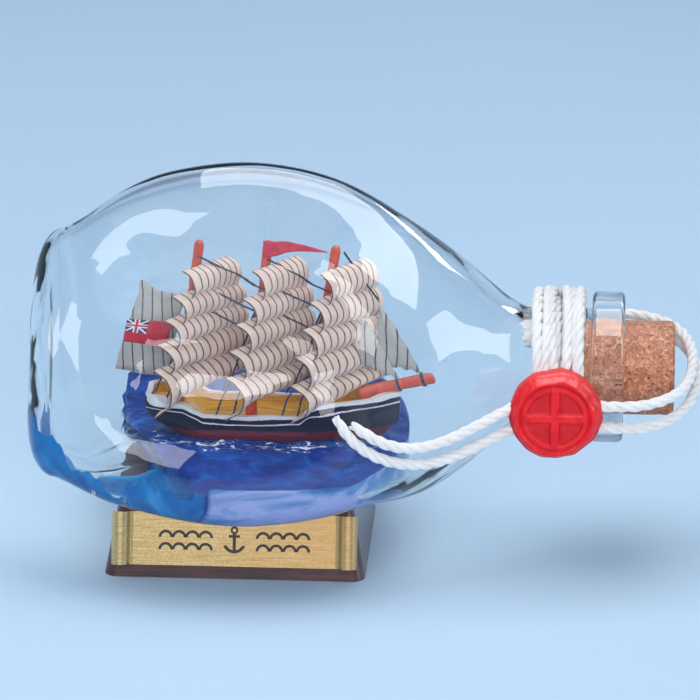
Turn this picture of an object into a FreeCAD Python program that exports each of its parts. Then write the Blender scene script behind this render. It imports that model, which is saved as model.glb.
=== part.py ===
"""Ship in a bottle: a three-sided dimple bottle on its side, corked, corded and sealed, on a wooden plinth.

Millimetres, +Z up. The origin is the middle of the plinth's underside. The bottle lies along X with its neck
towards +X, and -Y is the front, the side with the nameplate and the seal.
"""
import FreeCAD, Part
import math
import os
from FreeCAD import Vector

# ---- driving dimensions ------------------------------------------------------------------------------------

# Bottle
AXIS_Z = 38.2            # height of the bottle's axis above the table
BASE_X = -40.6           # outside of the bottle's base
BODY_START_X = -34.4     # where the heel's rounding ends and the body begins
BODY_END_X = 57.0
HEEL_SHARE = 0.5         # how much of the radius the heel's rounding takes
BASE_DROP = 1.3          # how far the base end hangs below the axis
RIDGE_PROFILE = (        # distance of the three ridges from the axis, along the bottle
    (-34.4, 27.6), (-31.5, 29.2), (-25.0, 33.5), (-17.0, 37.2), (-8.0, 39.4), (0.0, 40.3), (11.5, 39.3),
    (21.5, 36.1), (31.0, 30.3), (41.0, 22.7), (49.5, 15.6), (54.0, 12.4), (57.0, 11.3))
SIDE_SHARPNESS = 4.0     # how square the rounded triangle's corners are
HEEL_ROUNDNESS = 0.3     # how far the section by the heel is from the triangle towards a circle
ROUND_FROM_X = 5.0       # the triangle turns into a circle from here ...
ROUND_BY_X = 48.0        # ... to here
DENT_DEPTH = 4.6         # the dimple pressed into each side
DENT_RISE = (-34.0, -15.0)    # it deepens between these
DENT_FALL = (2.0, 36.0)       # and fades between these
DENT_HALF_WIDTH = 15.0
WALL = 2.0
BASE_WALL = 2.6
INNER_HEEL_LENGTH = 3.6
PUSH_UP = 0.8            # hollow of the base
PUSH_UP_R = 8.0
NECK_R = 11.5
BORE_R = 9.25
NECK_START_X = 50.0
LIP_X = 68.6
MOUTH_X = 75.0
LIP_R = 14.7
LIP_ROUND = 1.1
RING_POINTS = 48         # control points around the bottle

# Sea
SEA_Z = AXIS_Z - 14.5    # level of the sea in the bottle
SEA_GAP = 0.05           # the sea's cast surface inside the glass
SEA_END_X = 33.0
SEA_BANK = 3.2           # how far the sea climbs the back wall
SEA_START = (-26.0, 28.0, 0.0058)     # the pool's end near the base: x at its furthest, y there, and its curve
SEA_SKIN = 1.2           # what the sea leaves on the glass beyond that

# Ship
DECK_DROP = 1.7          # deck below the rail
BULWARK = 0.9
HULL_SINK = 2.0          # draught
HULL_STATIONS = (        # x, half-breadth, rail above the sea, keel above the sea
    (-18.4, 3.6, 7.6, 3.9), (-16.6, 5.3, 7.5, 2.4), (-14.0, 6.5, 7.4, 0.9), (-10.8, 7.1, 7.3, -0.8),
    (-7.0, 7.4, 5.1, -2.0), (2.0, 7.6, 4.9, -2.0), (12.2, 7.0, 5.0, -2.0), (14.2, 6.7, 6.8, -2.0),
    (20.0, 5.2, 7.2, -2.0), (25.0, 3.3, 7.6, -1.6), (28.5, 1.7, 7.9, 0.6), (31.0, 0.5, 8.1, 3.2))
RAIL_THICK = 0.45
MAST_R = 1.05
MAST_STEP = 0.8          # how deep a mast stands in the hull
MASTS = {                # foot x, top x, top height above the axis
    "mizzen": (-12.6, -7.6, 24.3), "main": (1.7, 5.7, 24.6), "fore": (14.6, 19.2, 23.4)}
SAIL_THICK = 0.25
YARD_ANGLE = 45.0        # yards are braced this far from the keel line
BELLY_ANGLE = 24.0       # the sails belly out this far to the front of straight ahead
SAIL_WIDTHS = (11.5, 15.0, 17.2, 19.4, 21.0)
SAIL_BULGES = (2.5, 2.9, 3.2, 3.6, 4.4)
SAIL_CUT = ((0, 0), (0.15, 0.55), (0.35, 0.9), (0.6, 1.0), (0.85, 0.75), (1, 0.45))   # share down, share of bulge
SAIL_FORWARD = 1.3       # the middle of each sail's head, ahead of its mast's front
SAIL_HEADS = {           # heights of the first and last sail's head above the axis
    "mizzen": (20.2, 0.9), "main": (20.4, -0.4), "fore": (20.0, -1.6)}
SAIL_SPACE = 0.25        # between one sail's foot and the next one's head
COURSE_DROPS = {"mizzen": 8.0, "main": 6.8, "fore": 5.6}     # height of the lowest sail at its front corner
COURSE_DROP_FAR = 4.0    # and at its far corner
THREAD_R = 0.2
BOWSPRIT = (Vector(23.5, 0, AXIS_Z - 6.75), Vector(37.2, 0, AXIS_Z - 2.9))
LASHING_SPOTS = (0.52, 0.84)

# Closure
CORK_IN_X = 63.5
CORK_OUT_X = 84.8
CORK_R = 9.2
CORK_CHAMFER = 0.9
CORD_D = 2.2
WINDING_X = (56.2, 68.2)
WINDING_R = 15.9
SEAL_CENTRE = Vector(61.9, -15.7, AXIS_Z - 4.0)
SEAL_THICK = 3.4
SEAL_RADII = (8.9, 8.5, 8.3, 8.2, 8.3, 8.1, 8.2, 8.6, 8.9, 8.5, 8.0, 7.8, 8.1, 7.9, 8.2, 8.7)
SEAL_RING_R = 5.9
SEAL_RELIEF = 0.6

# Plinth and nameplate
PLINTH_LENGTH = 51.0
PLINTH_DEPTH = 41.0
PLINTH_TOP_LENGTH = 45.0
PLINTH_TOP_DEPTH = 31.0
PLINTH_HEIGHT = 16.2
PLINTH_CORNER_R = 2.6
SEAT_GAP = 0.15
PLATE_LENGTH = 48.0
PLATE_HEIGHT = 10.4
PLATE_MARGIN = 2.5       # below the plate, up the slope
PLATE_THICK = 0.5
PLATE_GAP = 0.05
SCROLL_R = 1.5           # the roll at each end of the nameplate
SCROLL_HOLLOW_R = 1.4    # the hollow that leads up to it
SCROLL_TURN = 70.0       # how steeply the hollow rises
ORNAMENT_THICK = 0.12


# ---- helpers -----------------------------------------------------------------------------------------------

def smooth_through(knots):
    """A natural cubic spline y(x) through (x, y) knots."""
    xs = [k[0] for k in knots]
    ys = [k[1] for k in knots]
    count = len(xs)
    gaps = [xs[i + 1] - xs[i] for i in range(count - 1)]
    upper = [0.0] * count
    right = [0.0] * count
    for i in range(1, count - 1):
        jump = 6 * ((ys[i + 1] - ys[i]) / gaps[i] - (ys[i] - ys[i - 1]) / gaps[i - 1])
        pivot = 2 * (gaps[i - 1] + gaps[i]) - gaps[i - 1] * upper[i - 1]
        upper[i] = gaps[i] / pivot
        right[i] = (jump - gaps[i - 1] * right[i - 1]) / pivot
    bend = [0.0] * count
    for i in range(count - 2, 0, -1):
        bend[i] = right[i] - upper[i] * bend[i + 1]

    def at(x):
        i = max(0, min(count - 2, sum(1 for k in xs[1:-1] if x >= k)))
        a = (xs[i + 1] - x) / gaps[i]
        b = 1 - a
        curve = ((a ** 3 - a) * bend[i] + (b ** 3 - b) * bend[i + 1]) * gaps[i] ** 2 / 6
        return a * ys[i] + b * ys[i + 1] + curve

    return at


def ease(x, start, end):
    """0 before start, 1 after end, and smooth between."""
    t = max(0.0, min(1.0, (x - start) / (end - start)))
    return t * t * t * (t * (6 * t - 15) + 10)


def skin(rings):
    """A closed solid through rings of control points, each flat and across X, with flat ends."""
    rows, around = len(rings), len(rings[0])
    surface = Part.BSplineSurface()
    surface.buildFromPolesMultsKnots(
        rings, [4] + [1] * (rows - 4) + [4], [1] * (around + 1),
        list(range(rows - 2)), list(range(around + 1)), False, True, 3, 3)
    side = surface.toShape()
    faces = [side]
    for ring in (rings[0], rings[-1]):
        edge = Part.BSplineCurve()
        edge.buildFromPolesMultsKnots(ring, [1] * (around + 1), list(range(around + 1)), True, 3)
        faces.append(Part.Face(Part.Wire(edge.toShape())))
    shell = Part.Shell(faces)
    shell.sewShape()
    solid = Part.Solid(shell)
    if solid.Volume < 0:
        solid.reverse()
    return solid


def rod(start, end, radius, end_radius=None):
    """A round rod, or a tapered one, from start to end."""
    run = end - start
    if end_radius is None or abs(end_radius - radius) < 1e-6:
        return Part.makeCylinder(radius, run.Length, start, run)
    return Part.makeCone(radius, end_radius, run.Length, start, run)


def prism(points, direction):
    """A flat polygon pushed along direction."""
    return Part.Face(Part.makePolygon(points + [points[0]])).extrude(direction)


def tube(points, diameter, name):
    """A round tube along straight runs joined by tangent arcs, and its centreline's tightest radius."""
    edges, radii, last = [], [], points[0]
    for before, corner, after in zip(points, points[1:], points[2:]):
        into, out = corner - before, after - corner
        turn = into.getAngle(out)
        shorter = min(into.Length, out.Length)
        radius = 0.45 * shorter / math.tan(turn / 2)
        radii.append(radius)
        into.normalize()
        out.normalize()
        start, end = corner - into * 0.45 * shorter, corner + out * 0.45 * shorter
        inward = out - into
        inward.normalize()
        middle = corner + inward * (radius / math.cos(turn / 2) - radius)
        edges.append(Part.LineSegment(last, start).toShape())
        edges.append(Part.Arc(start, middle, end).toShape())
        last = end
    edges.append(Part.LineSegment(last, points[-1]).toShape())
    path = Part.Wire(edges)
    circle = Part.Wire(Part.makeCircle(diameter / 2, points[0], points[1] - points[0]))
    solid = path.makePipeShell([circle], True, True)
    section = math.pi * diameter ** 2 / 4
    print(f"{name}: length {path.Length:.1f}, volume/section/length {solid.Volume / section / path.Length:.4f}, "
          f"tightest radius {min(radii):.1f}")
    return solid


def save(name, shape):
    """Write one node's STEP file."""
    solids = shape.Solids
    if not solids or not shape.isValid():
        print("BAD SHAPE", name, len(solids), shape.isValid())
    kept = solids[0] if len(solids) == 1 else Part.Compound(solids)
    kept.exportStep(f"parts/{name}.step")
    print(f"{name}: {len(solids)} solid(s), {kept.Volume:.1f} mm3")


# ---- bottle ------------------------------------------------------------------------------------------------

ridge_at = smooth_through(RIDGE_PROFILE)
SIDE_ANGLES = (-90.0, 30.0, 150.0)      # directions of the three flat sides, seen from +X, 90 being up


def outside_radius(x, angle):
    """Distance of the body's outer surface from the axis, at x and in the direction of angle (degrees)."""
    ridge = ridge_at(x)
    power = 0.0
    for side in SIDE_ANGLES:
        power += max(0.0, math.cos(math.radians(angle - side))) ** SIDE_SHARPNESS
    triangle = 0.5 * (2.0 / power) ** (1.0 / SIDE_SHARPNESS)
    roundness = ease(x, ROUND_FROM_X, ROUND_BY_X) + HEEL_ROUNDNESS * (1 - ease(x, BODY_START_X, DENT_RISE[1]))
    radius = ridge * (roundness + (1 - roundness) * triangle)
    depth = DENT_DEPTH * ease(x, *DENT_RISE) * (1 - ease(x, *DENT_FALL))
    dent = 0.0
    for side in SIDE_ANGLES:
        away = math.radians(angle - side)
        if math.cos(away) > 0:
            across = radius * math.sin(away) / DENT_HALF_WIDTH
            dent += depth * math.exp(-across ** 2)
    return radius - dent


def centre_z(x):
    """Height of the section's centre: the axis, a little lower at the base end."""
    return AXIS_Z - BASE_DROP * (1 - ease(x, BODY_START_X, -12.0))


def ring(x, shape_x, inset, heel=0.0):
    """Control points round the bottle at x, taking the shape at shape_x, in by inset and by a share of the rest."""
    points = []
    for i in range(RING_POINTS):
        angle = 360.0 * i / RING_POINTS
        r = (outside_radius(shape_x, angle) - inset) * (1 - heel)
        across, up = math.cos(math.radians(angle)), math.sin(math.radians(angle))
        points.append(Vector(x, r * across, centre_z(shape_x) + r * up))
    return points


def body_form(inset, start_x, base_x, end_x):
    """The body as a solid: a flat base, a rounded heel and the ridged body, inset from the outside."""
    rings = []
    for degrees in (90, 84, 72, 58, 44, 30, 16):
        t = math.radians(degrees)
        x = start_x + (base_x - start_x) * math.sin(t)
        rings.append(ring(x, start_x, inset, HEEL_SHARE * (1 - math.cos(t))))
    steps = 34
    for i in range(steps + 1):
        x = start_x + (end_x - start_x) * i / steps
        rings.append(ring(x, x, inset))
    return skin(rings)


def bottle():
    """The glass: body, neck and lip, hollow, with a hollowed base."""
    outside = body_form(0.0, BODY_START_X, BASE_X, BODY_END_X)
    neck = Part.makeCylinder(NECK_R, MOUTH_X - NECK_START_X, Vector(NECK_START_X, 0, AXIS_Z), Vector(1, 0, 0))
    lip = Part.makeCylinder(LIP_R, MOUTH_X - LIP_X, Vector(LIP_X, 0, AXIS_Z), Vector(1, 0, 0))
    lip = lip.makeFillet(LIP_ROUND, [e for e in lip.Edges if e.Curve.TypeId == "Part::GeomCircle"])
    outside = outside.fuse(neck).fuse(lip)
    bore = Part.makeCylinder(BORE_R, MOUTH_X + 1 - NECK_START_X, Vector(NECK_START_X, 0, AXIS_Z), Vector(1, 0, 0))
    ball_r = (PUSH_UP_R ** 2 + PUSH_UP ** 2) / (2 * PUSH_UP)
    hollow = Part.makeSphere(ball_r, Vector(BASE_X + PUSH_UP - ball_r, 0, AXIS_Z - BASE_DROP))
    return outside.cut(inside_form(0.0).fuse(bore)).cut(hollow)


def inside_form(gap):
    """The space inside the body, smaller all round by gap."""
    base_x = BASE_X + BASE_WALL
    return body_form(WALL + gap, base_x + INNER_HEEL_LENGTH, base_x + gap, BODY_END_X - 1.0)


# ---- sea and ship ------------------------------------------------------------------------------------------

def sea(hull_form):
    """The cast sea: a pool with rounded ends that climbs at the back, and a skin left on the glass by the base."""
    bottom, back = AXIS_Z - 45.0, 45.0
    outline = [Vector(BASE_X, -back, bottom), Vector(BASE_X, -back, SEA_Z), Vector(BASE_X, 14.0, SEA_Z),
               Vector(BASE_X, 24.0, SEA_Z + 0.3 * SEA_BANK), Vector(BASE_X, 34.0, SEA_Z + SEA_BANK),
               Vector(BASE_X, back, SEA_Z + SEA_BANK), Vector(BASE_X, back, bottom)]
    block = prism(outline, Vector(80, 0, 0))
    end_length, end_width = 43.0, 46.0
    end = Part.Ellipse(Vector(SEA_END_X - end_length, 0, 0), end_width, end_length)
    end.AngleXU = math.pi / 2
    end = Part.Face(Part.Wire(end.toShape())).extrude(Vector(0, 0, 90))
    aft = Part.makeBox(40, 100, 90, Vector(SEA_END_X - end_length - 40, -50, 0))
    pool = inside_form(SEA_GAP).common(block).common(end.fuse(aft))
    furthest, furthest_y, curve = SEA_START
    shore = [Vector(furthest + curve * (furthest_y - y) ** 2, y, 0) for y in range(-36, 37, 6)]
    coast = Part.BSplineCurve()
    coast.interpolate(shore)
    corners = [shore[-1], Vector(BASE_X, shore[-1].y, 0), Vector(BASE_X, shore[0].y, 0), shore[0]]
    dry = Part.Face(Part.Wire([coast.toShape()] + Part.makePolygon(corners).Edges)).extrude(Vector(0, 0, 90))
    return pool.cut(inside_form(SEA_GAP + SEA_SKIN).common(dry)).cut(hull_form)


def station_value(index):
    return [(s[0], s[index]) for s in HULL_STATIONS]


def between(pairs, x):
    """Straight-line value at x."""
    for (x0, y0), (x1, y1) in zip(pairs, pairs[1:]):
        if x <= x1:
            return y0 + (y1 - y0) * max(0.0, x - x0) / (x1 - x0)
    return pairs[-1][1]


def rail_z(x):
    return SEA_Z + between(station_value(2), x)


def half_breadth(x):
    return between(station_value(1), x)


def hull_outer():
    """The solid hull, rail to keel."""
    wires = []
    for x, breadth, rail, keel in HULL_STATIONS:
        top, low = SEA_Z + rail, SEA_Z + keel
        height = top - low
        half = [(breadth, top), (breadth, top - 0.3 * height), (0.9 * breadth, top - 0.62 * height),
                (0.62 * breadth, low + 0.12 * height), (0.12 * breadth, low)]
        outline = half + [(-y, z) for y, z in reversed(half)]
        wires.append(Part.makePolygon([Vector(x, y, z) for y, z in outline + outline[:1]]))
    return Part.makeLoft(wires, True, True)


def along_deck(stations, side_gap, low, high):
    """A slab that follows the rail's plan and height, side_gap inside it, from low to high above the rail."""
    wires = []
    for x in stations:
        y, z = half_breadth(x) - side_gap, rail_z(x)
        corners = [Vector(x, -y, z + low), Vector(x, y, z + low), Vector(x, y, z + high), Vector(x, -y, z + high)]
        wires.append(Part.makePolygon(corners + corners[:1]))
    return Part.makeLoft(wires, True, True)


def mast_line(name):
    """Foot and top of a mast's centreline."""
    foot_x, top_x, top = MASTS[name]
    foot = Vector(foot_x, 0, rail_z(foot_x) - DECK_DROP - MAST_STEP)
    return foot, Vector(top_x, 0, AXIS_Z + top)


def mast_point(name, height):
    """The mast's centreline at a height above the bottle's axis."""
    foot, top = mast_line(name)
    share = (AXIS_Z + height - foot.z) / (top.z - foot.z)
    return foot + (top - foot) * share


def mast(name):
    foot, top = mast_line(name)
    return rod(foot, top, MAST_R * 1.05, MAST_R * 0.9)


def sail(mast_name, level):
    """One square sail: a thin sheet hung from its head, bellied ahead, and braced with its front end aft."""
    first, last = SAIL_HEADS[mast_name]
    spacing = (first - last) / 4
    angle = math.radians(YARD_ANGLE)
    yard = Vector(math.cos(angle), math.sin(angle), 0)
    forward = Vector(math.sin(angle), -math.cos(angle), 0)
    belly = Vector(math.cos(math.radians(BELLY_ANGLE)), -math.sin(math.radians(BELLY_ANGLE)), 0)
    centre = mast_point(mast_name, first - spacing * level) + Vector(SAIL_FORWARD, 0, 0)
    head = centre + forward * (MAST_R + 0.1) - yard * (SAIL_WIDTHS[level] / 2)
    drop = spacing - SAIL_SPACE if level < 4 else COURSE_DROPS[mast_name]
    back = belly * SAIL_THICK
    front_points = [head - Vector(0, 0, down * drop) + belly * SAIL_BULGES[level] * out for down, out in SAIL_CUT]
    front, rear = Part.BSplineCurve(), Part.BSplineCurve()
    front.interpolate(front_points)
    rear.interpolate([point - back for point in front_points])
    foot = front_points[-1]
    profile = Part.Wire([
        front.toShape(), Part.LineSegment(foot, foot - back).toShape(),
        rear.toShape(), Part.LineSegment(head - back, head).toShape()])
    cloth = Part.Face(profile).extrude(yard * SAIL_WIDTHS[level])
    if level == 4:
        near = head - Vector(0, 0, drop) - forward * 5
        far = head - Vector(0, 0, COURSE_DROP_FAR) - forward * 5 + yard * SAIL_WIDTHS[level]
        low = Vector(0, 0, -drop)
        cloth = cloth.cut(prism([near, far, far + low, near + low], forward * 20))
    return cloth


def pierced(cloth, rods):
    """A sail with the threads and spars that pass through it cut out."""
    for piece in rods:
        if cloth.common(piece).Volume > 1e-5:
            cut = max(cloth.cut(piece).Solids, key=lambda s: s.Volume)
            if cut.isValid():
                cloth = cut
    return cloth


def fore_and_aft(points, y, thick):
    """A flat sheet in the ship's centre plane: (x, height above the axis) corners, its middle at y."""
    corners = [Vector(x, y - thick / 2, AXIS_Z + z) for x, z in points]
    return prism(corners, Vector(0, thick, 0))


def stays(lower, upper, ends):
    """Threads beside the masts, from an aft mast down to the next mast ahead."""
    threads = []
    for high, low in ends:
        beside = Vector(0, -MAST_R - 1.5 * THREAD_R, 0)
        threads.append(rod(mast_point(upper, high) + beside, mast_point(lower, low) + beside, THREAD_R))
    return threads


def backstays(side, mast_name, pairs):
    """Threads from a mast down to the rail on one side (-1 front, 1 back)."""
    threads = []
    for height, rail_x in pairs:
        start = mast_point(mast_name, height) + Vector(0, side * (MAST_R + 2 * THREAD_R), 0)
        end = Vector(rail_x, side * (half_breadth(rail_x) - 0.3), rail_z(rail_x) + RAIL_THICK + THREAD_R)
        threads.append(rod(start, end, THREAD_R))
    return threads


BACKSTAYS = {"mizzen": ((6.0, -17.0), (3.0, -13.9)), "main": ((13.0, -4.3), (9.0, -1.0)),
             "fore": ((13.0, 8.6), (9.0, 11.8))}
MIZZEN_STAYS = ((21.6, 15.0), (16.3, 9.6), (11.8, 5.2))
MAIN_STAYS = ((21.2, 14.4), (16.2, 10.4), (11.6, 5.4))
OUTER_JIB = ((27.2, 12.2), (34.9, -1.9), (26.9, 0.7))
INNER_JIB = ((23.9, 9.7), (31.2, -3.2), (23.5, 0.3))
SPANKER = ((-19.3, 15.6), (-10.9, 12.5), (-14.4, -3.4), (-24.4, -2.4))
ENSIGN = ((-22.0, 8.0), (-13.2, 7.4), (-14.5, 2.3), (-22.8, 3.4))
PENNANT = ((6.9, 24.6), (11.5, 24.0), (17.5, 22.2), (11.5, 22.4), (6.9, 21.7))


# ---- closure -----------------------------------------------------------------------------------------------

def cork():
    """The stopper, with chamfered ends."""
    length = CORK_OUT_X - CORK_IN_X
    plug = Part.makeCylinder(CORK_R, length, Vector(CORK_IN_X, 0, AXIS_Z), Vector(1, 0, 0))
    rims = [e for e in plug.Edges if e.Curve.TypeId == "Part::GeomCircle"]
    return plug.makeChamfer(CORK_CHAMFER, rims)


def winding():
    """The outer shape of the cord wound round the neck."""
    low, high = WINDING_X
    inner, outer = NECK_R + 0.15, WINDING_R
    band = Part.makeCylinder(outer, high - low, Vector(low, 0, AXIS_Z), Vector(1, 0, 0))
    rims = [e for e in band.Edges if e.Curve.TypeId == "Part::GeomCircle"]
    band = band.makeFillet(1.8, rims)
    hole = Part.makeCylinder(inner, high - low + 2, Vector(low - 1, 0, AXIS_Z), Vector(1, 0, 0))
    body = body_form(-0.1, BODY_START_X, BASE_X, BODY_END_X)
    return band.cut(hole).cut(body)


def seal():
    """The wax seal: a lumpy disc with a raised ring and a plain raised cross, hollowed to fit the winding."""
    count = len(SEAL_RADII)
    rim = []
    for i, radius in enumerate(SEAL_RADII):
        t = 2 * math.pi * i / count
        rim.append(SEAL_CENTRE + Vector(radius * math.cos(t), 0, radius * math.sin(t)))
    outline = Part.BSplineCurve()
    outline.interpolate(rim, PeriodicFlag=True)
    disc = Part.Face(Part.Wire(outline.toShape())).extrude(Vector(0, -SEAL_THICK, 0))
    disc = disc.fuse(Part.Face(Part.Wire(outline.toShape())).extrude(Vector(0, 2.6, 0))).removeSplitter()
    front = SEAL_CENTRE + Vector(0, -SEAL_THICK, 0)
    ring_outer = Part.makeCylinder(SEAL_RING_R, SEAL_RELIEF, front, Vector(0, -1, 0))
    ring_inner = Part.makeCylinder(SEAL_RING_R - 1.0, SEAL_RELIEF, front, Vector(0, -1, 0))
    emblem = ring_outer.cut(ring_inner)
    for long_x, long_z in ((2 * SEAL_RING_R - 1, 1.3), (1.3, 2 * SEAL_RING_R - 1)):
        corner = front + Vector(-long_x / 2, -SEAL_RELIEF, -long_z / 2)
        emblem = emblem.fuse(Part.makeBox(long_x, SEAL_RELIEF, long_z, corner))
    keep_out = Part.makeCylinder(WINDING_R + 0.05, 60, Vector(40, 0, AXIS_Z), Vector(1, 0, 0))
    return disc.fuse(emblem).cut(keep_out)


# ---- plinth and nameplate ----------------------------------------------------------------------------------

SLOPE = math.atan((PLINTH_DEPTH - PLINTH_TOP_DEPTH) / 2 / PLINTH_HEIGHT)


def rectangle(length, depth, z):
    x, y = length / 2, depth / 2
    corners = [Vector(-x, -y, z), Vector(x, -y, z), Vector(x, y, z), Vector(-x, y, z)]
    return Part.makePolygon(corners + corners[:1])


def plinth():
    """A bevelled block with rounded corners and a seat that fits the bottle's underside."""
    block = Part.makeLoft([rectangle(PLINTH_LENGTH, PLINTH_DEPTH, 0),
                           rectangle(PLINTH_TOP_LENGTH, PLINTH_TOP_DEPTH, PLINTH_HEIGHT)], True, True)
    corners = [e for e in block.Edges if abs(e.Vertexes[0].Z - e.Vertexes[1].Z) > 1]
    block = block.makeFillet(PLINTH_CORNER_R, corners)
    return block.cut(body_form(-SEAT_GAP, BODY_START_X, BASE_X, BODY_END_X))


def on_slope(shape):
    """Stand a flat shape, drawn with X along and Z up, on the plinth's front face, Y into the wood."""
    placed = shape.copy()
    placed.rotate(Vector(0, 0, 0), Vector(1, 0, 0), -math.degrees(SLOPE))
    placed.translate(Vector(0, -PLINTH_DEPTH / 2, 0))
    return placed


def bend(centre, radius, start, sweep):
    """Part of the nameplate's sheet: a bend of mid radius round an upright axis, start and sweep in degrees."""
    up = Vector(0, 0, 1)
    sector = Part.makeCylinder(radius + PLATE_THICK / 2, PLATE_HEIGHT, centre, up, sweep)
    sector.rotate(centre, up, start)
    return sector.cut(Part.makeCylinder(radius - PLATE_THICK / 2, PLATE_HEIGHT, centre, up))


def nameplate():
    """A brass sheet on the front face, its two ends rolled forward into scrolls."""
    turn = math.radians(SCROLL_TURN)
    middle_y = -PLATE_GAP - PLATE_THICK / 2
    roll_out = SCROLL_HOLLOW_R * math.sin(turn) + SCROLL_R * math.sin(turn)
    flat = PLATE_LENGTH / 2 - PLATE_THICK / 2 - SCROLL_R - roll_out
    hollow = Vector(flat, middle_y - SCROLL_HOLLOW_R, PLATE_MARGIN)
    roll = hollow + Vector(roll_out, (SCROLL_HOLLOW_R + SCROLL_R) * math.cos(turn), 0)
    stop = math.degrees(math.asin((middle_y - roll.y) / SCROLL_R))
    start = -90 - SCROLL_TURN
    end = bend(hollow, SCROLL_HOLLOW_R, 90 - SCROLL_TURN, SCROLL_TURN).fuse(
        bend(roll, SCROLL_R, start, stop - start))
    other = end.mirror(Vector(0, 0, 0), Vector(1, 0, 0))
    corner = Vector(-flat, middle_y - PLATE_THICK / 2, PLATE_MARGIN)
    sheet = Part.makeBox(2 * flat, PLATE_THICK, PLATE_HEIGHT, corner)
    return on_slope(sheet.fuse([end, other]).removeSplitter())


def ornament():
    """Black enamel on the plate: an anchor between two rows of waves."""
    middle_z = PLATE_MARGIN + PLATE_HEIGHT / 2
    face_y = -PLATE_THICK - PLATE_GAP
    out = Vector(0, -ORNAMENT_THICK, 0)

    def flat_ring(x, z, outer, inner, low=0.0, high=360.0):
        wide = Part.makeCylinder(outer, ORNAMENT_THICK, Vector(x, face_y, z), Vector(0, -1, 0), high - low)
        thin = Part.makeCylinder(inner, ORNAMENT_THICK, Vector(x, face_y, z), Vector(0, -1, 0))
        wide.rotate(Vector(x, 0, z), Vector(0, 1, 0), -low)
        return wide.cut(thin)

    def bar(x, z, wide, high):
        corner = Vector(x - wide / 2, face_y, z - high / 2)
        return prism([corner, corner + Vector(wide, 0, 0), corner + Vector(wide, 0, high),
                      corner + Vector(0, 0, high)], out)

    ring_z = middle_z + 1.9
    shank = bar(0, middle_z - 0.5, 0.6, 4.2).fuse([
        bar(0, middle_z + 0.7, 2.2, 0.5), flat_ring(0, ring_z, 0.75, 0.35),
        flat_ring(0, middle_z - 0.3, 2.3, 1.7).cut(bar(0, middle_z + 0.7, 8, 3.6))])
    pieces = [shank.cut(Part.makeCylinder(0.35, 1, Vector(0, face_y + 0.5, ring_z), Vector(0, -1, 0)))]
    crest = 1.3
    for side in (-1, 1):
        for i in range(4):
            x = side * (5.6 + 2 * crest * i)
            for z in (middle_z + 0.3, middle_z - 2.1):
                pieces.append(flat_ring(x, z, crest + 0.12, crest - 0.4).cut(bar(x, z - 1.5, 4, 3)))
    return on_slope(pieces[0]), [on_slope(p) for p in pieces[1:]]


# ---- cords -------------------------------------------------------------------------------------------------

def route(points):
    """A cord's route from (x, y, height above the bottle's axis) points."""
    return [Vector(x, y, AXIS_Z + height) for x, y, height in points]


UPPER_TAIL = route((
    (54.6, -16.0, -2.4), (50.6, -18.4, -3.8), (46.3, -21.3, -5.3), (42.0, -24.3, -6.6), (37.7, -26.9, -7.3),
    (33.3, -28.9, -7.0), (29.3, -30.1, -5.5), (26.0, -30.5, -3.4), (23.4, -30.3, -1.6)))
LOWER_TAIL = route((
    (54.9, -15.9, -6.6), (50.7, -18.5, -8.0), (46.3, -21.5, -9.4), (41.9, -24.6, -10.5), (37.4, -27.3, -10.8),
    (32.8, -29.2, -10.0), (28.6, -30.5, -8.4), (24.9, -30.9, -6.0), (22.1, -30.6, -3.1), (20.4, -30.0, -0.3)))
UPPER_LOOP = route((
    (67.4, -15.6, -2.3), (74.2, -16.9, -2.2), (80.9, -15.9, -1.7), (86.2, -11.5, -0.8), (88.3, -4.4, 0.7),
    (88.4, 3.4, 2.5), (86.3, 10.8, 4.0), (81.0, 15.6, 4.9), (74.2, 17.3, 5.2), (67.4, 15.7, 4.9)))
LOWER_LOOP = route((
    (67.6, -15.3, -6.2), (74.6, -16.2, -7.0), (81.0, -15.0, -6.7), (86.5, -11.1, -5.2), (89.1, -4.6, -3.0),
    (89.4, 3.1, -0.8), (87.2, 10.3, 1.1), (82.2, 15.6, 2.0), (75.6, 17.8, 1.6), (69.2, 17.0, 0.4)))


# ---- build -------------------------------------------------------------------------------------------------

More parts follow.
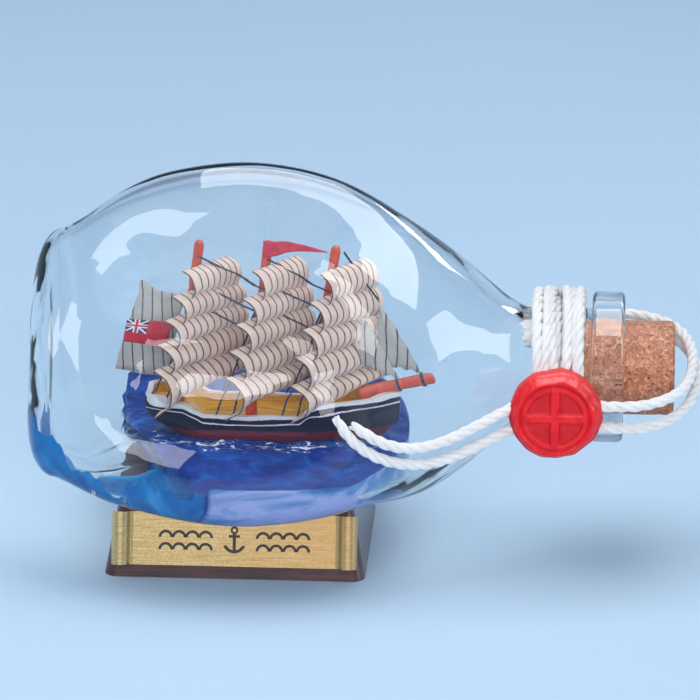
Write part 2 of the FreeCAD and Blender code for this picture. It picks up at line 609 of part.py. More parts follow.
def main():
    os.makedirs("parts", exist_ok=True)
    save("plinth", plinth())
    save("nameplate", nameplate())
    anchor, waves = ornament()
    save("nameplate_anchor", anchor)
    save("nameplate_waves", Part.Compound(waves))
    glass = bottle()
    save("bottle", glass)
    save("cork", cork())
    save("neck_winding", winding())
    save("wax_seal", seal())

    hull_form = hull_outer()
    inner_stations = [x for x in (-17.4, -16.6, -14.0, -10.8, -7.0, 2.0, 12.2, 14.2, 20.0, 25.0, 28.0)]
    well = along_deck(inner_stations, BULWARK, -DECK_DROP - 0.5, 3.0)
    all_masts = {name: mast(name) for name in MASTS}
    sprit = rod(BOWSPRIT[0], BOWSPRIT[1], MAST_R * 1.05, MAST_R * 0.9)
    save("sea", sea(hull_form))
    hull = hull_form.cut(well).cut(Part.Compound(list(all_masts.values()))).cut(sprit)
    save("hull", hull)
    deck = along_deck(inner_stations, BULWARK + 0.05, -DECK_DROP - 0.5, -DECK_DROP)
    save("deck", deck.cut(Part.Compound(list(all_masts.values()))).cut(sprit))
    rail_stations = [s[0] for s in HULL_STATIONS]
    rail = along_deck(rail_stations, -0.2, 0.0, RAIL_THICK).cut(along_deck(inner_stations, BULWARK + 0.1, -1, 2))
    rail = rail.cut(sprit)
    save("cap_rail", rail)
    for name, shape in all_masts.items():
        save(f"{name}_mast", shape)
    save("bowsprit", sprit)

    threads = {
        "mizzen_stays": stays("main", "mizzen", MIZZEN_STAYS),
        "main_stays": stays("fore", "main", MAIN_STAYS)}
    for side, word in ((-1, "front"), (1, "back")):
        for name, pairs in BACKSTAYS.items():
            threads[f"{name}_backstays_{word}"] = backstays(side, name, pairs)
    for jib, key, height in ((OUTER_JIB, "outer_jib_stay", 22.2), (INNER_JIB, "inner_jib_stay", 14.2)):
        start = mast_point("fore", height) + Vector(MAST_R + 2 * THREAD_R, 0, 0)
        end = Vector(jib[0][0] - 0.15, 0, AXIS_Z + jib[0][1] + 0.4)
        threads[key] = [rod(start, end, THREAD_R)]
    for name, group in threads.items():
        save(name, Part.Compound(group))

    all_threads = [t for group in threads.values() for t in group]
    inner_jib = fore_and_aft(INNER_JIB, -0.5, SAIL_THICK).cut(sprit)
    for name in MASTS:
        for level in range(5):
            save(f"{name}_sail_{level + 1}", pierced(sail(name, level), all_threads + [sprit, inner_jib]))
    holes = Part.Compound(list(all_masts.values()) + all_threads)
    save("spanker", fore_and_aft(SPANKER, 0.0, SAIL_THICK).cut(holes))
    save("ensign", fore_and_aft(ENSIGN, -0.6, SAIL_THICK).cut(holes))
    save("pennant", fore_and_aft(PENNANT, 0.0, SAIL_THICK).cut(holes))
    save("outer_jib", fore_and_aft(OUTER_JIB, 0.0, SAIL_THICK).cut(sprit))
    save("inner_jib", inner_jib)
    ties = []
    sprit_run = BOWSPRIT[1] - BOWSPRIT[0]
    for share in LASHING_SPOTS:
        spot = BOWSPRIT[0] + sprit_run * share
        radius = MAST_R * (1.05 - 0.15 * share)
        tie = Part.makeCylinder(radius + 0.35, 0.5, spot, sprit_run)
        ties.append(tie.cut(Part.makeCylinder(radius + 0.02, 0.5, spot, sprit_run)))
    save("bowsprit_lashings", Part.Compound(ties).cut(rail))

    save("cord_tail_upper", tube(UPPER_TAIL, CORD_D, "cord_tail_upper"))
    save("cord_tail_lower", tube(LOWER_TAIL, CORD_D, "cord_tail_lower"))
    save("cord_loop_upper", tube(UPPER_LOOP, CORD_D, "cord_loop_upper"))
    save("cord_loop_lower", tube(LOWER_LOOP, CORD_D, "cord_loop_lower"))


main()
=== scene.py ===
"""Looks for the ship in a bottle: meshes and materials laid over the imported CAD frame.

Shapes are drawn in millimetres in the CAD frame and scaled to metres when a mesh is made. The bottle lies along
X with its neck towards +X, and -Y is the front.
"""
import math
import random

import bpy
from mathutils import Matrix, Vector, noise


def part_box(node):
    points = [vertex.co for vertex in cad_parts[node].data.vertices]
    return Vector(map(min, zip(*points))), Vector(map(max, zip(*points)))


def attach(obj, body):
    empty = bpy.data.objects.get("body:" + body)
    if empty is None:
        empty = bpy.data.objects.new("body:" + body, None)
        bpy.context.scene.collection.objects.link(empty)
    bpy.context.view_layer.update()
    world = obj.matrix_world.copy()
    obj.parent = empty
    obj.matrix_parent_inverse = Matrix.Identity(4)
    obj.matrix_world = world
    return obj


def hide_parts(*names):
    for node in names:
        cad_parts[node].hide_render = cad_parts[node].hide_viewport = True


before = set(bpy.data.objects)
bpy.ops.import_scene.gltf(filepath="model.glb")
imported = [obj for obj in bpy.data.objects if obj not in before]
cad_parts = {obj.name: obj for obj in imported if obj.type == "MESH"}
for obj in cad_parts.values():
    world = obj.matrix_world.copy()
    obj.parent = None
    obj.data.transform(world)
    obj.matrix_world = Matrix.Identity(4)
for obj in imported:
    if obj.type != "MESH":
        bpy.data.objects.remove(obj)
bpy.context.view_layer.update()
MM = 0.001


def node_box(node):
    """A CAD node's corners in millimetres."""
    low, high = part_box(node)
    return Vector(low) / MM, Vector(high) / MM


CORK_LOW, CORK_HIGH = node_box("cork")
AXIS_Z = (CORK_LOW.z + CORK_HIGH.z) / 2        # height of the bottle's axis
FRONT_SIDE = -90.0                             # directions of the bottle's three sides, seen from +X, 90 being up
SIDE_ANGLES = (FRONT_SIDE, FRONT_SIDE + 120.0, FRONT_SIDE + 240.0)


# ---- camera ------------------------------------------------------------------------------------------------

CAMERA_AZIMUTH, CAMERA_ELEVATION = math.radians(3.5), math.radians(20.0)
CAMERA_DISTANCE = 0.88
FOCAL_LENGTH = 231.0
AIM_X, AIM_UP = 21.4, 2.2       # what the middle of the view looks at, along the bottle and above its axis


def make_camera():
    sa, ca = math.sin(CAMERA_AZIMUTH), math.cos(CAMERA_AZIMUTH)
    se, ce = math.sin(CAMERA_ELEVATION), math.cos(CAMERA_ELEVATION)
    up = Vector((-sa * se, ca * se, ce))
    aim = (Vector((AIM_X, 0, AXIS_Z)) + AIM_UP * up) * MM
    data = bpy.data.cameras.new("camera")
    data.lens = FOCAL_LENGTH
    data.sensor_width = 36.0
    data.clip_start, data.clip_end = 0.01, 50.0
    camera = bpy.data.objects.new("camera", data)
    camera.location = aim + CAMERA_DISTANCE * Vector((sa * ce, -ca * ce, se))
    camera.rotation_euler = (math.pi / 2 - CAMERA_ELEVATION, 0, CAMERA_AZIMUTH)
    bpy.context.scene.collection.objects.link(camera)
    bpy.context.scene.camera = camera


make_camera()


# ---- mesh helpers ------------------------------------------------------------------------------------------

def mesh_object(name, points, faces, material, uvs=None):
    """A smooth mesh object from points in millimetres; uvs holds one (u, v) for each point."""
    mesh = bpy.data.meshes.new(name)
    mesh.from_pydata([Vector(p) * MM for p in points], [], faces)
    if uvs:
        layer = mesh.uv_layers.new(name="UVMap")
        for loop in mesh.loops:
            layer.data[loop.index].uv = uvs[loop.vertex_index]
    mesh.polygons.foreach_set("use_smooth", [True] * len(mesh.polygons))
    mesh.materials.append(material)
    mesh.update()
    piece = bpy.data.objects.new(name, mesh)
    bpy.context.scene.collection.objects.link(piece)
    return piece


def ring_faces(rings, around, first=0, closed=True):
    """Quads between successive rings of points."""
    faces = []
    for i in range(rings - 1):
        for j in range(around if closed else around - 1):
            k = (j + 1) % around
            a, b = first + i * around, first + (i + 1) * around
            faces.append((a + j, a + k, b + k, b + j))
    return faces


def end_caps(rings, around, first=0):
    """The two faces that close a tube of rings."""
    last = first + (rings - 1) * around
    return [tuple(reversed(range(first, first + around))), tuple(range(last, last + around))]


def loft(name, rings, material, uvs=None):
    """A closed tube-like mesh through rings that all have as many points."""
    around = len(rings[0])
    faces = ring_faces(len(rings), around) + end_caps(len(rings), around)
    return mesh_object(name, [p for ring in rings for p in ring], faces, material, uvs)


def point_values(piece, **layers):
    """Stores one number per point, under each name, for the finishes to read."""
    for name, values in layers.items():
        layer = piece.data.attributes.new(name, "FLOAT", "POINT")
        layer.data.foreach_set("value", values)


def circle(count):
    """(cosine, sine) pairs evenly round a circle."""
    return [(math.cos(t), math.sin(t)) for t in (2 * math.pi * j / count for j in range(count))]


def adopt(piece, body, slot, *nodes):
    """A piece rides on a body and stands for CAD nodes; the slot argument is not used."""
    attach(piece, body)
    if nodes:
        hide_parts(*nodes)
    return piece


def thicken(piece, thickness):
    solid = piece.modifiers.new("thickness", "SOLIDIFY")
    solid.thickness = thickness * MM
    solid.offset = 0.0
    return piece


def smoothstep(x, low, high):
    t = max(0.0, min(1.0, (x - low) / (high - low)))
    return t * t * (3 - 2 * t)


def ease(x, start, end):
    t = max(0.0, min(1.0, (x - start) / (end - start)))
    return t * t * t * (t * (6 * t - 15) + 10)


def interpolate(pairs, x):
    """Straight-line value through (x, y) pairs."""
    for (x0, y0), (x1, y1) in zip(pairs, pairs[1:]):
        if x <= x1:
            return y0 + (y1 - y0) * max(0.0, min(1.0, (x - x0) / (x1 - x0)))
    return pairs[-1][1]


def smooth_through(knots):
    """A natural cubic spline y(x) through (x, y) knots."""
    xs, ys = [k[0] for k in knots], [k[1] for k in knots]
    count = len(xs)
    gaps = [xs[i + 1] - xs[i] for i in range(count - 1)]
    upper, right, bend = [0.0] * count, [0.0] * count, [0.0] * count
    for i in range(1, count - 1):
        jump = 6 * ((ys[i + 1] - ys[i]) / gaps[i] - (ys[i] - ys[i - 1]) / gaps[i - 1])
        pivot = 2 * (gaps[i - 1] + gaps[i]) - gaps[i - 1] * upper[i - 1]
        upper[i] = gaps[i] / pivot
        right[i] = (jump - gaps[i - 1] * right[i - 1]) / pivot
    for i in range(count - 2, 0, -1):
        bend[i] = right[i] - upper[i] * bend[i + 1]

    def at(x):
        i = max(0, min(count - 2, sum(1 for k in xs[1:-1] if x >= k)))
        a = (xs[i + 1] - x) / gaps[i]
        b = 1 - a
        curve = ((a ** 3 - a) * bend[i] + (b ** 3 - b) * bend[i + 1]) * gaps[i] ** 2 / 6
        return a * ys[i] + b * ys[i + 1] + curve

    return at


# ---- material helpers --------------------------------------------------------------------------------------

def fill_ramp(elements, stops):
    """Gives a colour ramp's elements their stops: (position, colour or grey)."""
    while len(elements) < len(stops):
        elements.new(0.5)
    for element, (place, colour) in zip(elements, stops):
        element.position = place
        element.color = (*colour, 1) if isinstance(colour, tuple) else (colour, colour, colour, 1)


class Finish:
    """A Principled material with short calls for the procedural nodes that feed it."""

    def __init__(self, name, **constants):
        self.material = bpy.data.materials.new(name)
        self.material.use_nodes = True
        self.tree = self.material.node_tree
        self.shader = self.tree.nodes["Principled BSDF"]
        for socket, value in constants.items():
            self.shader.inputs[socket.replace("_", " ")].default_value = value

    def node(self, kind, inputs=None, **settings):
        made = self.tree.nodes.new(kind)
        for key, value in settings.items():
            setattr(made, key, value)
        for key, value in (inputs or {}).items():
            if isinstance(value, bpy.types.NodeSocket):
                self.tree.links.new(value, made.inputs[key])
            else:
                made.inputs[key].default_value = value
        return made

    def drive(self, socket, output):
        self.tree.links.new(output, self.shader.inputs[socket])

    def position(self, stretch=(1, 1, 1)):
        """Object coordinates in millimetres."""
        source = self.node("ShaderNodeTexCoord").outputs["Object"]
        scale = [s / MM for s in stretch]
        return self.node("ShaderNodeMapping", {"Vector": source, "Scale": scale}).outputs["Vector"]

    def uv(self, stretch=(1, 1, 1)):
        source = self.node("ShaderNodeUVMap", uv_map="UVMap").outputs["UV"]
        return self.node("ShaderNodeMapping", {"Vector": source, "Scale": stretch}).outputs["Vector"]

    def noise(self, place, scale, detail=3.0, roughness=0.55, distortion=0.0):
        return self.node("ShaderNodeTexNoise", {
            "Vector": place, "Scale": scale, "Detail": detail, "Roughness": roughness,
            "Distortion": distortion}).outputs["Fac"]

    def ramp(self, factor, *stops, steps=False):
        """A colour ramp; stops are (position, colour or grey)."""
        made = self.node("ShaderNodeValToRGB", {"Fac": factor})
        made.color_ramp.interpolation = "CONSTANT" if steps else "LINEAR"
        fill_ramp(made.color_ramp.elements, stops)
        return made.outputs["Color"]

    def mix(self, factor, first, second, blend="MIX"):
        made = self.node("ShaderNodeMix", data_type="RGBA", blend_type=blend)
        for key, value in ((0, factor), (6, first), (7, second)):
            if isinstance(value, bpy.types.NodeSocket):
                self.tree.links.new(value, made.inputs[key])
            elif key == 0:
                made.inputs[key].default_value = value
            else:
                made.inputs[key].default_value = (*value, 1)
        return made.outputs[2]

    def math(self, operation, first, second=0.0):
        return self.node("ShaderNodeMath", {0: first, 1: second}, operation=operation).outputs[0]

    def attribute(self, name):
        """A number stored on the mesh's points."""
        return self.node("ShaderNodeAttribute", attribute_name=name).outputs["Fac"]

    def share(self, value, low, high, at_high=1.0):
        """0 where the value is low, rising to at_high where it is high."""
        return self.node("ShaderNodeMapRange", {
            "Value": value, "From Min": low, "From Max": high, "To Max": at_high}).outputs["Result"]

    def parts(self, vector):
        made = self.node("ShaderNodeSeparateXYZ", {0: vector})
        return made.outputs["X"], made.outputs["Y"], made.outputs["Z"]

    def bump(self, height, depth):
        """Relief of that depth in millimetres."""
        made = self.node("ShaderNodeBump", {"Height": height, "Distance": depth * MM, "Strength": 1.0})
        self.drive("Normal", made.outputs["Normal"])


# ---- materials ---------------------------------------------------------------------------------------------

def glass_finish():
    """Clear hand-blown glass with a faint blue cast and slow ripples."""
    f = Finish("bottle_glass", Base_Color=(0.955, 0.985, 0.995, 1), Roughness=0.0, IOR=1.44,
               Transmission_Weight=1.0)
    ripple = f.noise(f.position((0.4, 1, 1)), 0.09, 2.0, 0.4)
    f.bump(ripple, 0.6)
    return f.material


def sea_finish():
    """Cobalt resin with white foam dabs: azure in the thin coat, where depth is 0, and a pale lilac painted
    highlight, standing for glare, on the pool's walls, where it is 2. The coat is cut off where cover falls to
    nothing."""
    f = Finish("sea", Roughness=0.12, Specular_IOR_Level=0.25, IOR=1.45)
    place = f.position()
    depth = f.attribute("depth")
    deep = f.ramp(f.noise(place, 0.16, 4.0, 0.6, 0.8), (0.3, (0.0, 0.016, 0.15)), (0.52, (0.001, 0.04, 0.3)),
                  (0.72, (0.006, 0.12, 0.5)))
    crest = f.ramp(f.noise(f.position((1, 2.2, 1)), 0.42, 5.0, 0.65, 1.4), (0.6, 0.0), (0.74, 1.0))
    coloured = f.mix(f.math("MULTIPLY", crest, 0.3), deep, (0.03, 0.17, 0.6))
    foam = f.attribute("foam")
    dabs = f.noise(f.position((0.5, 1.1, 1)), 0.5, 4.0, 0.6, 1.2)
    scratches = f.noise(f.position((0.5, 2.0, 1)), 0.9, 5.0, 0.7, 2.2)
    broken = f.math("MAXIMUM", dabs, f.math("SUBTRACT", scratches, 0.03))
    white = f.ramp(f.math("ADD", broken, f.math("MULTIPLY", foam, 0.3)), (0.75, 0.0), (0.765, 1.0))
    top = f.mix(white, coloured, (0.88, 0.92, 0.98))
    azure = f.ramp(f.noise(f.position((0.6, 1, 0.6)), 0.12, 4.0, 0.6, 1.0), (0.32, (0.0, 0.09, 0.36)),
                   (0.5, (0.004, 0.19, 0.53)), (0.66, (0.05, 0.36, 0.7)))
    # The walls are painted lighter than the top, up to a pale lilac stop: a painted highlight for glare.
    wall = f.ramp(f.noise(f.position((0.3, 1, 1.4)), 0.12, 4.0, 0.6, 0.8), (0.36, (0.012, 0.12, 0.4)),
                  (0.5, (0.08, 0.24, 0.56)), (0.62, (0.34, 0.42, 0.76)))
    low = f.mix(f.ramp(depth, (0.1, 0.0), (0.75, 1.0)), azure, top)
    f.drive("Base Color", f.mix(f.share(depth, 1.0, 2.0), low, wall))
    cover = f.attribute("cover")
    f.drive("Alpha", f.ramp(cover, (0.42, 0.0), (0.58, 1.0)))
    f.bump(f.noise(place, 0.55, 5.0, 0.6, 0.7), 0.35)
    return f.material


MAROON_BELOW = -12.3             # above the axis: the hull is maroon below this


def hull_finish():
    """Painted hull: V runs down from the rail in millimetres, U along the ship; inboard, V is below zero."""
    f = Finish("hull_paint", Roughness=0.5, Specular_IOR_Level=0.2)
    _, v, _ = f.parts(f.uv())
    wobble = f.math("MULTIPLY", f.math("SUBTRACT", f.noise(f.position(), 0.5, 3.0), 0.5), 0.35)
    down = f.math("DIVIDE", f.math("ADD", v, wobble), 8.0)
    bands = f.ramp(down, (0.0, (0.86, 0.85, 0.86)), (0.045, (0.006, 0.007, 0.034)), (0.165, (0.78, 0.78, 0.84)),
                   (0.2, (0.004, 0.005, 0.026)), steps=True)
    _, _, z = f.parts(f.position())
    boot = f.math("LESS_THAN", f.math("ADD", z, wobble), AXIS_Z + MAROON_BELOW)
    worn = f.ramp(f.noise(f.position(), 1.3, 5.0, 0.7), (0.35, 0.82), (0.7, 1.15))
    outside = f.mix(boot, bands, (0.12, 0.008, 0.03))
    painted = f.mix(f.math("LESS_THAN", v, -1.0), outside, (0.78, 0.42, 0.06))
    f.drive("Base Color", f.mix(1.0, painted, worn, "MULTIPLY"))
    f.bump(f.noise(f.position((0.5, 1, 2)), 1.1, 4.0), 0.06)
    return f.material


def deck_finish():
    """Amber varnished planks that run along the ship."""
    f = Finish("deck_varnish", Roughness=0.22, Coat_Weight=0.7, Coat_Roughness=0.06)
    _, y, _ = f.parts(f.position())
    seam = f.math("PINGPONG", f.math("MULTIPLY", y, 0.9), 0.5)
    dark = f.ramp(seam, (0.0, 0.45), (0.07, 1.0))
    grain = f.ramp(f.noise(f.position((0.15, 2.5, 1)), 0.9, 5.0, 0.6), (0.3, (0.68, 0.31, 0.03)),
                   (0.55, (0.92, 0.52, 0.06)), (0.8, (0.99, 0.76, 0.2)))
    f.drive("Base Color", f.mix(1.0, grain, dark, "MULTIPLY"))
    f.bump(dark, 0.05)
    return f.material


def paint_finish(name, light, dark, roughness=0.4, grain=0.05):
    """Brushed paint over wood: two tones, streaks and a soft gloss."""
    f = Finish(name, Roughness=roughness, Coat_Weight=0.25, Coat_Roughness=0.2)
    tone = f.ramp(f.noise(f.position((1, 1, 0.35)), 0.8, 4.0, 0.6), (0.3, dark), (0.7, light))
    f.drive("Base Color", tone)
    f.bump(f.noise(f.position((1, 1, 0.25)), 2.4, 4.0), grain)
    return f.material


def sail_finish(name, light, dark, seam_gap, line_share, line_colour):
    """Paper printed with seam lines: U runs across the sail and V down it, both in millimetres."""
    f = Finish(name, Roughness=0.82, Subsurface_Weight=0.12, Subsurface_Scale=0.0006, Sheen_Weight=0.1)
    u, v, _ = f.parts(f.uv())
    wobble = f.math("MULTIPLY", f.math("SUBTRACT", f.noise(f.uv((0.3, 1, 1)), 0.6, 2.0), 0.5), 0.22)
    across = f.math("FRACT", f.math("DIVIDE", f.math("ADD", u, wobble), seam_gap))
    distance = f.math("ABSOLUTE", f.math("SUBTRACT", across, 0.5))
    line = f.ramp(distance, (0.5 - line_share * 1.3, 0.0), (0.5 - line_share * 0.6, 1.0))
    faded = f.ramp(f.noise(f.uv(), 1.4, 3.0), (0.3, 0.72), (0.6, 1.0))
    tone = f.ramp(f.noise(f.position(), 0.3, 4.0, 0.6), (0.3, dark), (0.7, light))
    f.drive("Base Color", f.mix(f.math("MULTIPLY", line, faded), tone, line_colour))
    f.bump(f.math("SUBTRACT", f.noise(f.position(), 3.5, 4.0), f.math("MULTIPLY", line, 0.6)), 0.05)
    return f.material


def pennant_finish():
    f = Finish("pennant_paper", Roughness=0.6, Sheen_Weight=0.1)
    tone = f.ramp(f.noise(f.position(), 0.5, 4.0), (0.3, (0.5, 0.025, 0.055)), (0.7, (0.7, 0.07, 0.11)))
    f.drive("Base Color", tone)
    f.bump(f.noise(f.position(), 2.5, 4.0), 0.06)
    return f.material


def ensign_finish():
    """A red flag with a crossed dark canton: U and V run from 0 to 1 from the upper left corner."""
    f = Finish("ensign_paper", Roughness=0.6, Sheen_Weight=0.1)
    u, v, _ = f.parts(f.uv())
    in_canton = f.math("MULTIPLY", f.math("LESS_THAN", u, 0.5), f.math("LESS_THAN", v, 0.52))
    cu = f.math("SUBTRACT", f.math("DIVIDE", u, 0.5), 0.5)
    cv = f.math("SUBTRACT", f.math("DIVIDE", v, 0.52), 0.5)
    nearest = f.math("MINIMUM", f.math("ABSOLUTE", cu), f.math("ABSOLUTE", cv))
    slant = f.math("ABSOLUTE", f.math("SUBTRACT", f.math("ABSOLUTE", cu), f.math("ABSOLUTE", cv)))
    red, white, navy = (0.6, 0.018, 0.035), (0.8, 0.8, 0.84), (0.02, 0.025, 0.13)
    cross = f.mix(f.math("LESS_THAN", slant, 0.07), navy, white)
    cross = f.mix(f.math("LESS_THAN", nearest, 0.13), cross, white)
    cross = f.mix(f.math("LESS_THAN", nearest, 0.065), cross, red)
    tone = f.ramp(f.noise(f.position(), 0.9, 4.0), (0.3, 0.75), (0.7, 1.1))
    f.drive("Base Color", f.mix(1.0, f.mix(in_canton, red, cross), tone, "MULTIPLY"))
    f.bump(f.noise(f.position(), 2.5, 4.0), 0.05)
    return f.material


def thread_finish():
    f = Finish("thread", Roughness=0.85, Sheen_Weight=0.3)
    _, _, z = f.parts(f.position())
    twist = f.math("SINE", f.math("MULTIPLY", z, 9.0))
    tone = f.ramp(f.math("ADD", f.math("MULTIPLY", twist, 0.3), f.noise(f.position(), 3.0)),
                  (0.2, (0.008, 0.012, 0.03)), (0.8, (0.05, 0.06, 0.1)))
    f.drive("Base Color", tone)
    f.bump(twist, 0.05)
    return f.material


def cord_finish():
    """White cotton: U runs along a strand and V round it, in millimetres."""
    f = Finish("cord_cotton", Roughness=0.92, Subsurface_Weight=0.25, Subsurface_Scale=0.0009,
               Subsurface_Radius=(1.0, 0.9, 0.8), Sheen_Weight=0.5, Sheen_Roughness=0.5)
    fibres = f.noise(f.uv((0.35, 3.0, 1)), 2.2, 5.0, 0.7, 0.4)
    tone = f.ramp(f.noise(f.position(), 0.4, 3.0), (0.3, (0.9, 0.88, 0.85)), (0.7, (0.97, 0.965, 0.95)))
    shade = f.ramp(fibres, (0.25, 0.86), (0.6, 1.0))
    f.drive("Base Color", f.mix(1.0, tone, shade, "MULTIPLY"))
    f.bump(fibres, 0.16)
    return f.material


def wax_finish():
    """Red sealing wax, with painted shade that darkens it in the hollows."""
    f = Finish("wax", Roughness=0.34, Coat_Weight=0.2, Coat_Roughness=0.1, Subsurface_Weight=0.15,
               Subsurface_Scale=0.001, Subsurface_Radius=(1.0, 0.2, 0.15), IOR=1.45, Specular_IOR_Level=0.35)
    tone = f.ramp(f.noise(f.position(), 0.35, 5.0, 0.6), (0.28, (0.66, 0.003, 0.008)), (0.5, (0.86, 0.006, 0.014)),
                  (0.75, (0.95, 0.02, 0.024)))
    hollow = f.attribute("hollow")
    # Painted shade: the wax is darkened where the seal's face is sunken.
    f.drive("Base Color", f.mix(f.math("MULTIPLY", hollow, 0.45), tone, (0.45, 0.002, 0.006)))
    f.bump(f.noise(f.position(), 0.8, 5.0, 0.6, 0.5), 0.35)
    return f.material


def cork_finish():
    """Agglomerate cork: pressed granules of several browns with dark specks."""
    f = Finish("cork", Roughness=0.78, Coat_Weight=0.05)
    warp = f.node("ShaderNodeTexNoise", {"Vector": f.position(), "Scale": 0.8}).outputs["Color"]
    place = f.node("ShaderNodeVectorMath", {0: f.position(), 1: warp}, operation="ADD").outputs["Vector"]
    cells = f.node("ShaderNodeTexVoronoi", {"Vector": place, "Scale": 1.05, "Randomness": 1.0})
    grain = f.node("ShaderNodeSeparateColor", {0: cells.outputs["Color"]}).outputs[0]
    tone = f.ramp(grain, (0.0, (0.42, 0.14, 0.065)), (0.35, (0.54, 0.2, 0.1)), (0.7, (0.62, 0.25, 0.13)),
                  (1.0, (0.72, 0.34, 0.19)))
    edges = f.node("ShaderNodeTexVoronoi", {"Vector": place, "Scale": 1.05}, feature="DISTANCE_TO_EDGE")
    gap = f.ramp(edges.outputs["Distance"], (0.0, 0.6), (0.09, 1.0))
    specks = f.ramp(f.noise(f.position(), 1.6, 5.0, 0.75, 0.3), (0.34, 0.12), (0.43, 1.0))
    mottled = f.mix(1.0, f.mix(1.0, tone, gap, "MULTIPLY"), specks, "MULTIPLY")
    fine = f.ramp(f.noise(f.position(), 4.5, 4.0), (0.3, 0.8), (0.7, 1.15))
    f.drive("Base Color", f.mix(1.0, mottled, fine, "MULTIPLY"))
    f.bump(f.math("ADD", f.math("MULTIPLY", gap, 0.5), f.math("MULTIPLY", specks, 0.6)), 0.25)
    return f.material


def brass_finish():
    """Thin polished brass with fine rolling marks, specks and a warmer patch towards one end."""
    f = Finish("brass", Metallic=1.0)
    x, _, _ = f.parts(f.position())
    marks = f.noise(f.position((0.08, 1, 3.0)), 1.6, 4.0, 0.6)
    specks = f.noise(f.position(), 2.6, 6.0, 0.75)
    tone = f.ramp(f.math("ADD", f.math("MULTIPLY", marks, 0.5), f.math("MULTIPLY", specks, 0.5)),
                  (0.34, (0.5, 0.32, 0.12)), (0.48, (0.7, 0.48, 0.21)), (0.64, (0.86, 0.66, 0.36)))
    f.drive("Base Color", f.mix(f.share(x, -4.0, 18.0, 0.45), tone, (0.8, 0.42, 0.17)))
    f.drive("Roughness", f.ramp(specks, (0.35, 0.26), (0.65, 0.16)))
    f.bump(f.math("ADD", marks, specks), 0.015)
    return f.material


def enamel_finish():
    f = Finish("enamel", Roughness=0.3, Coat_Weight=0.4, Coat_Roughness=0.1)
    f.drive("Base Color", f.ramp(f.noise(f.position(), 2.0, 4.0), (0.3, (0.008, 0.007, 0.006)),
                                 (0.7, (0.03, 0.025, 0.02))))
    f.bump(f.noise(f.position(), 3.0), 0.03)
    return f.material


def plinth_finish():
    """Dark mahogany under satin varnish, with a cool sheen."""
    f = Finish("plinth_wood", Roughness=0.3, Coat_Weight=0.6, Coat_Roughness=0.16)
    rings = f.noise(f.position((0.05, 0.5, 1.0)), 0.5, 5.0, 0.6, 1.2)
    tone = f.ramp(rings, (0.3, (0.018, 0.004, 0.006)), (0.5, (0.06, 0.01, 0.013)), (0.68, (0.115, 0.02, 0.022)))
    pores = f.ramp(f.noise(f.position((0.12, 2.0, 2.0)), 1.8, 4.0, 0.7), (0.34, 0.35), (0.46, 1.0))
    f.drive("Base Color", f.mix(1.0, tone, pores, "MULTIPLY"))
    f.bump(pores, 0.05)
    return f.material


HORIZON = (0.42, 0.58, 0.78)
FLOOR_FADE = (450.0, 1700.0)     # how far out, in millimetres, the floor takes on the backdrop's brightness


def floor_finish():
    """Matt pale blue that brightens far out to meet the backdrop."""
    f = Finish("floor", Roughness=0.9, Emission_Color=(*HORIZON, 1))
    f.drive("Base Color", f.ramp(f.noise(f.position(), 0.004, 2.0), (0.3, (0.465, 0.64, 0.79)),
                                 (0.7, (0.485, 0.66, 0.81))))
    away = f.node("ShaderNodeVectorMath", {0: f.position()}, operation="LENGTH").outputs["Value"]
    f.drive("Emission Strength", f.share(away, *FLOOR_FADE, 0.62))
    return f.material


GLASS = glass_finish()
SEA = sea_finish()
HULL = hull_finish()
DECK = deck_finish()
RAIL = paint_finish("rail_paint", (0.86, 0.85, 0.84), (0.74, 0.73, 0.75))
SPAR = paint_finish("spar_paint", (0.74, 0.11, 0.05), (0.5, 0.05, 0.025))
SEAM_GAP = 1.45
SAILCLOTH = sail_finish("sail_paper", (0.84, 0.66, 0.57), (0.68, 0.51, 0.44), SEAM_GAP, 0.1, (0.05, 0.025, 0.02))
# A greyer, darker copy of the sail paper: painted shade for the spanker and jibs.
SHADED_JIBCLOTH = sail_finish("shaded_jib_paper", (0.5, 0.49, 0.46), (0.4, 0.4, 0.39), 1.9, 0.075, (0.04, 0.04, 0.05))
PENNANT_PAPER = pennant_finish()
ENSIGN_PAPER = ensign_finish()
THREAD = thread_finish()
COTTON = cord_finish()
WAX = wax_finish()
CORK = cork_finish()
BRASS = brass_finish()
ENAMEL = enamel_finish()
MAHOGANY = plinth_finish()


# ---- cords -------------------------------------------------------------------------------------------------

CORD_D = 2.2
CORD_PITCH = 8.0


def route(points):
    """A cord's route from (x, y, height above the bottle's axis) points."""
    return [Vector((x, y, AXIS_Z + height)) for x, y, height in points]


UPPER_TAIL = route((
    (54.6, -16.0, -2.4), (50.6, -18.4, -3.8), (46.3, -21.3, -5.3), (42.0, -24.3, -6.6), (37.7, -26.9, -7.3),
    (33.3, -28.9, -7.0), (29.3, -30.1, -5.5), (26.0, -30.5, -3.4), (23.4, -30.3, -1.6)))
LOWER_TAIL = route((
    (54.9, -15.9, -6.6), (50.7, -18.5, -8.0), (46.3, -21.5, -9.4), (41.9, -24.6, -10.5), (37.4, -27.3, -10.8),
    (32.8, -29.2, -10.0), (28.6, -30.5, -8.4), (24.9, -30.9, -6.0), (22.1, -30.6, -3.1), (20.4, -30.0, -0.3)))
UPPER_LOOP = route((
    (67.4, -15.6, -2.3), (74.2, -16.9, -2.2), (80.9, -15.9, -1.7), (86.2, -11.5, -0.8), (88.3, -4.4, 0.7),
    (88.4, 3.4, 2.5), (86.3, 10.8, 4.0), (81.0, 15.6, 4.9), (74.2, 17.3, 5.2), (67.4, 15.7, 4.9)))
LOWER_LOOP = route((
    (67.6, -15.3, -6.2), (74.6, -16.2, -7.0), (81.0, -15.0, -6.7), (86.5, -11.1, -5.2), (89.1, -4.6, -3.0),
    (89.4, 3.1, -0.8), (87.2, 10.3, 1.1), (82.2, 15.6, 2.0), (75.6, 17.8, 1.6), (69.2, 17.0, 0.4)))


